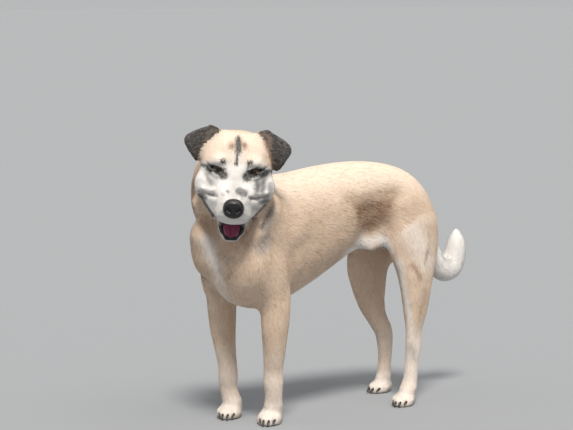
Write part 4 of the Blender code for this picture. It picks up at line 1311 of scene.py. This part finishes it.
def grow(name, kind, roots, facing, flow, labels, plan, slot="coat"):
    density, length, width, thick, height, spread = plan
    count = len(roots)
    flow = unit(square(flow, facing))
    angle = np.radians(chance.normal(0, spread, count))[:, None]
    side = np.cross(facing, flow)
    flow = np.cos(angle) * flow + np.sin(angle) * side
    size = (1 + hairPlan["waft"] * chance.normal(0, 1, count)).clip(0.45, 1.6)[:, None]
    run = length * size
    lift = height * chance.uniform(0.35, 1.15, count)[:, None]
    if kind == "tail":  # the brush starts close and short under the root of the tail
        brush = 0.15 + 0.85 * ramp(inside(dogFrame, roots)[:, 2], 56, 49)[:, None]
        lift, run = lift * brush, run * (0.5 + 0.5 * brush)
    # middle and tip are laid back on the skin, then lifted
    laid2, face2, _ = nearest(skinTree, roots + flow * run)
    tight = np.where(dot(face2, facing) < hairPlan["bend"])[0]
    if len(tight):
        run[tight] *= hairPlan["shorter"]
        laid2[tight], face2[tight], _ = nearest(skinTree, roots[tight] + flow[tight] * run[tight])
    laid1, face1, _ = nearest(skinTree, roots + flow * run * 0.5)
    face1, face2 = unit(face1 + facing), unit(face2 + facing)
    middle = laid1 + face1 * (lift * 0.62 + thick * 0.3)
    tip = laid2 + face2 * lift
    side = unit(np.cross(facing, tip - roots))
    wide = width * chance.uniform(0.75, 1.25, count)[:, None]
    base = roots - facing * thick * 0.8
    rings = [  # shares of the tuft's width and thickness
        base - side * wide * 0.36,
        base + side * wide * 0.36,
        roots + facing * thick * 0.7,
        middle - side * wide * 0.5,
        middle + side * wide * 0.5,
        middle + face1 * thick,
        tip,
    ]
    places = np.stack(rings, axis=1).reshape(-1, 3)
    faces = (tuftFaces[None] + (np.arange(count) * 7)[:, None, None]).reshape(-1, 3)
    coat = meshFrom(name, places, faces)
    soft = hairPlan["softness"] * side
    lower, upper = unit(middle - roots), unit(tip - middle)
    first = unit(square(facing, lower))
    last = unit(square(face2, upper))
    half = unit(first + last)
    looks = [first - soft, first + soft, first, half - soft, half + soft, half, last]
    coat.data.normals_split_custom_set_from_vertices(unit(np.stack(looks, axis=1)).reshape(-1, 3))
    paint(coat.data, *(np.repeat(marks, 7, axis=0) for marks in markLayers(roots, labels, hairPlan["blur"])))
    shade = np.repeat(chance.random((count, 2)), 7, axis=0)
    along = np.tile((0, 0, 0.1, 0.6, 0.6, 0.65, 1.0), count)
    setLayer(coat.data, "strand", np.column_stack([shade[:, 0], along, shade[:, 1], along]))
    flat = np.repeat(unwrapped(roots, labels), 7, axis=0)
    corners = [(-1, -1), (1, -1), (0, -1), (-1, 0), (1, 0), (0, 0), (0, 1)]
    patch = np.tile(corners, (count, 1)) * (hairPlan["patch"] / 2)
    layer = coat.data.uv_layers.new(name="OFBake")
    layer.data.foreach_set("uv", (flat + patch)[faces.ravel()].astype(np.float32).ravel())
    coat.data.materials.append(coatLook.material)
    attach(coat, "root")
    report(f"{name}: {count} tufts")


headSpots = inside(headFrame, skinPlaces[skinTriangles[:, 0]])
onMuzzle = among(triangleLabel, "head", "lower_jaw") & (headSpots[:, 1] < -0.5) & (headSpots[:, 2] < 3.0)
bodySpots = inside(dogFrame, skinPlaces[skinTriangles[:, 0]])
onTrunk, onLeft, onTop = among(triangleLabel, "trunk"), bodySpots[:, 0] > 0, bodySpots[:, 2] > 44
sectors = {
    "coat_back_left": ("trunk", onTrunk & onLeft & onTop),
    "coat_back_right": ("trunk", onTrunk & ~onLeft & onTop),
    "coat_belly_left": ("trunk", onTrunk & onLeft & ~onTop),
    "coat_belly_right": ("trunk", onTrunk & ~onLeft & ~onTop),
    "coat_neck": ("neck", among(triangleLabel, "neck")),
    "coat_hindleg_left": ("hindleg", among(triangleLabel, "hindleg_left")),
    "coat_hindleg_right": ("hindleg", among(triangleLabel, "hindleg_right")),
    "coat_forelegs": ("foreleg", among(triangleLabel, "foreleg")),
    "coat_paws": ("paw", among(triangleLabel, "forepaw", "hindpaw")),
    "coat_crown": ("head", among(triangleLabel, "head", "lower_jaw") & ~onMuzzle),
    "coat_face": ("muzzle", onMuzzle),
    "coat_ears": ("ear", among(triangleLabel, "ear")),
    "coat_tail": ("tail", among(triangleLabel, "tail")),
}
for name, (kind, mask) in sectors.items():
    roots, facing, flow, labels = sampled(mask, coatPlan[kind][0])
    grow(name, kind, roots, facing, flow, labels, coatPlan[kind], slot="ear_coat" if kind == "ear" else "coat")

# floor, light and camera
studio = {
    "floor": 80,  # half its width in metres
    "target": (-0.0783, -0.0705, 0.4539),
    "azimuth": 50,
    "elevation": 6.5,
    "distance": 4.625,
    "lens": 124.08,
    "lamps": {  # azimuth, elevation, strength, softness in degrees, warmth
        "key": (54, 60, 3.7, 14, (1.0, 0.96, 0.90)),
        "top": (110, 60, 0.6, 40, (1.0, 0.98, 0.95)),
        "fill": (-30, 40, 0.3, 60, (0.97, 0.98, 1.0)),
    },
    "sky": 0.5,
    "skyColour": (0.96, 0.97, 0.98),
}
# the floor as bright as the sky behind it, so that no horizon shows
skyTone = np.array(studio["skyColour"]) * studio["sky"]
sunTone = sum(s * math.sin(math.radians(e)) * np.array(w) for _, e, s, _, w in studio["lamps"].values()) / math.pi
floorTone = skyTone / (skyTone + sunTone)
ground = bmesh.new()
bmesh.ops.create_grid(ground, x_segments=8, y_segments=8, size=studio["floor"])
floorMesh = bpy.data.meshes.new("floor")
ground.to_mesh(floorMesh)
ground.free()
floor = newObject("floor", floorMesh)
floorLook = Look("floorPaper", Roughness=0.85, Specular_IOR_Level=0.2)
floorLook.feed(Base_Color=floorLook.mix(floorLook.noise(0.8, 2) * 0.1, rgb(*floorTone), rgb(*(0.97 * floorTone))))
floorMesh.materials.append(floorLook.material)

target = Vector(studio["target"])


def standing(azimuth, elevation, distance):
    a, e = math.radians(azimuth), math.radians(elevation)
    return target + distance * Vector((math.sin(a) * math.cos(e), -math.cos(a) * math.cos(e), math.sin(e)))


for name, (azimuth, elevation, strength, softness, warmth) in studio["lamps"].items():
    lamp = bpy.data.lights.new(name, "SUN")
    lamp.energy, lamp.angle, lamp.color = strength, math.radians(softness), warmth
    stand = newObject(name, lamp)
    stand.location = standing(azimuth, elevation, 4)
    stand.rotation_euler = (target - stand.location).to_track_quat("-Z", "Y").to_euler()
world = bpy.data.worlds.new("room")
bpy.context.scene.world = world
world.use_nodes = True
sky = world.node_tree.nodes["Background"]
sky.inputs["Color"].default_value = rgb(*studio["skyColour"])
sky.inputs["Strength"].default_value = studio["sky"]
bpy.context.scene.view_settings.view_transform = "Standard"

lens = bpy.data.cameras.new("camera")
lens.lens = studio["lens"]
camera = newObject("camera", lens)
camera.location = standing(studio["azimuth"], studio["elevation"], studio["distance"])
camera.rotation_euler = (target - camera.location).to_track_quat("-Z", "Y").to_euler()
bpy.context.scene.camera = camera

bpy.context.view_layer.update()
report("done")
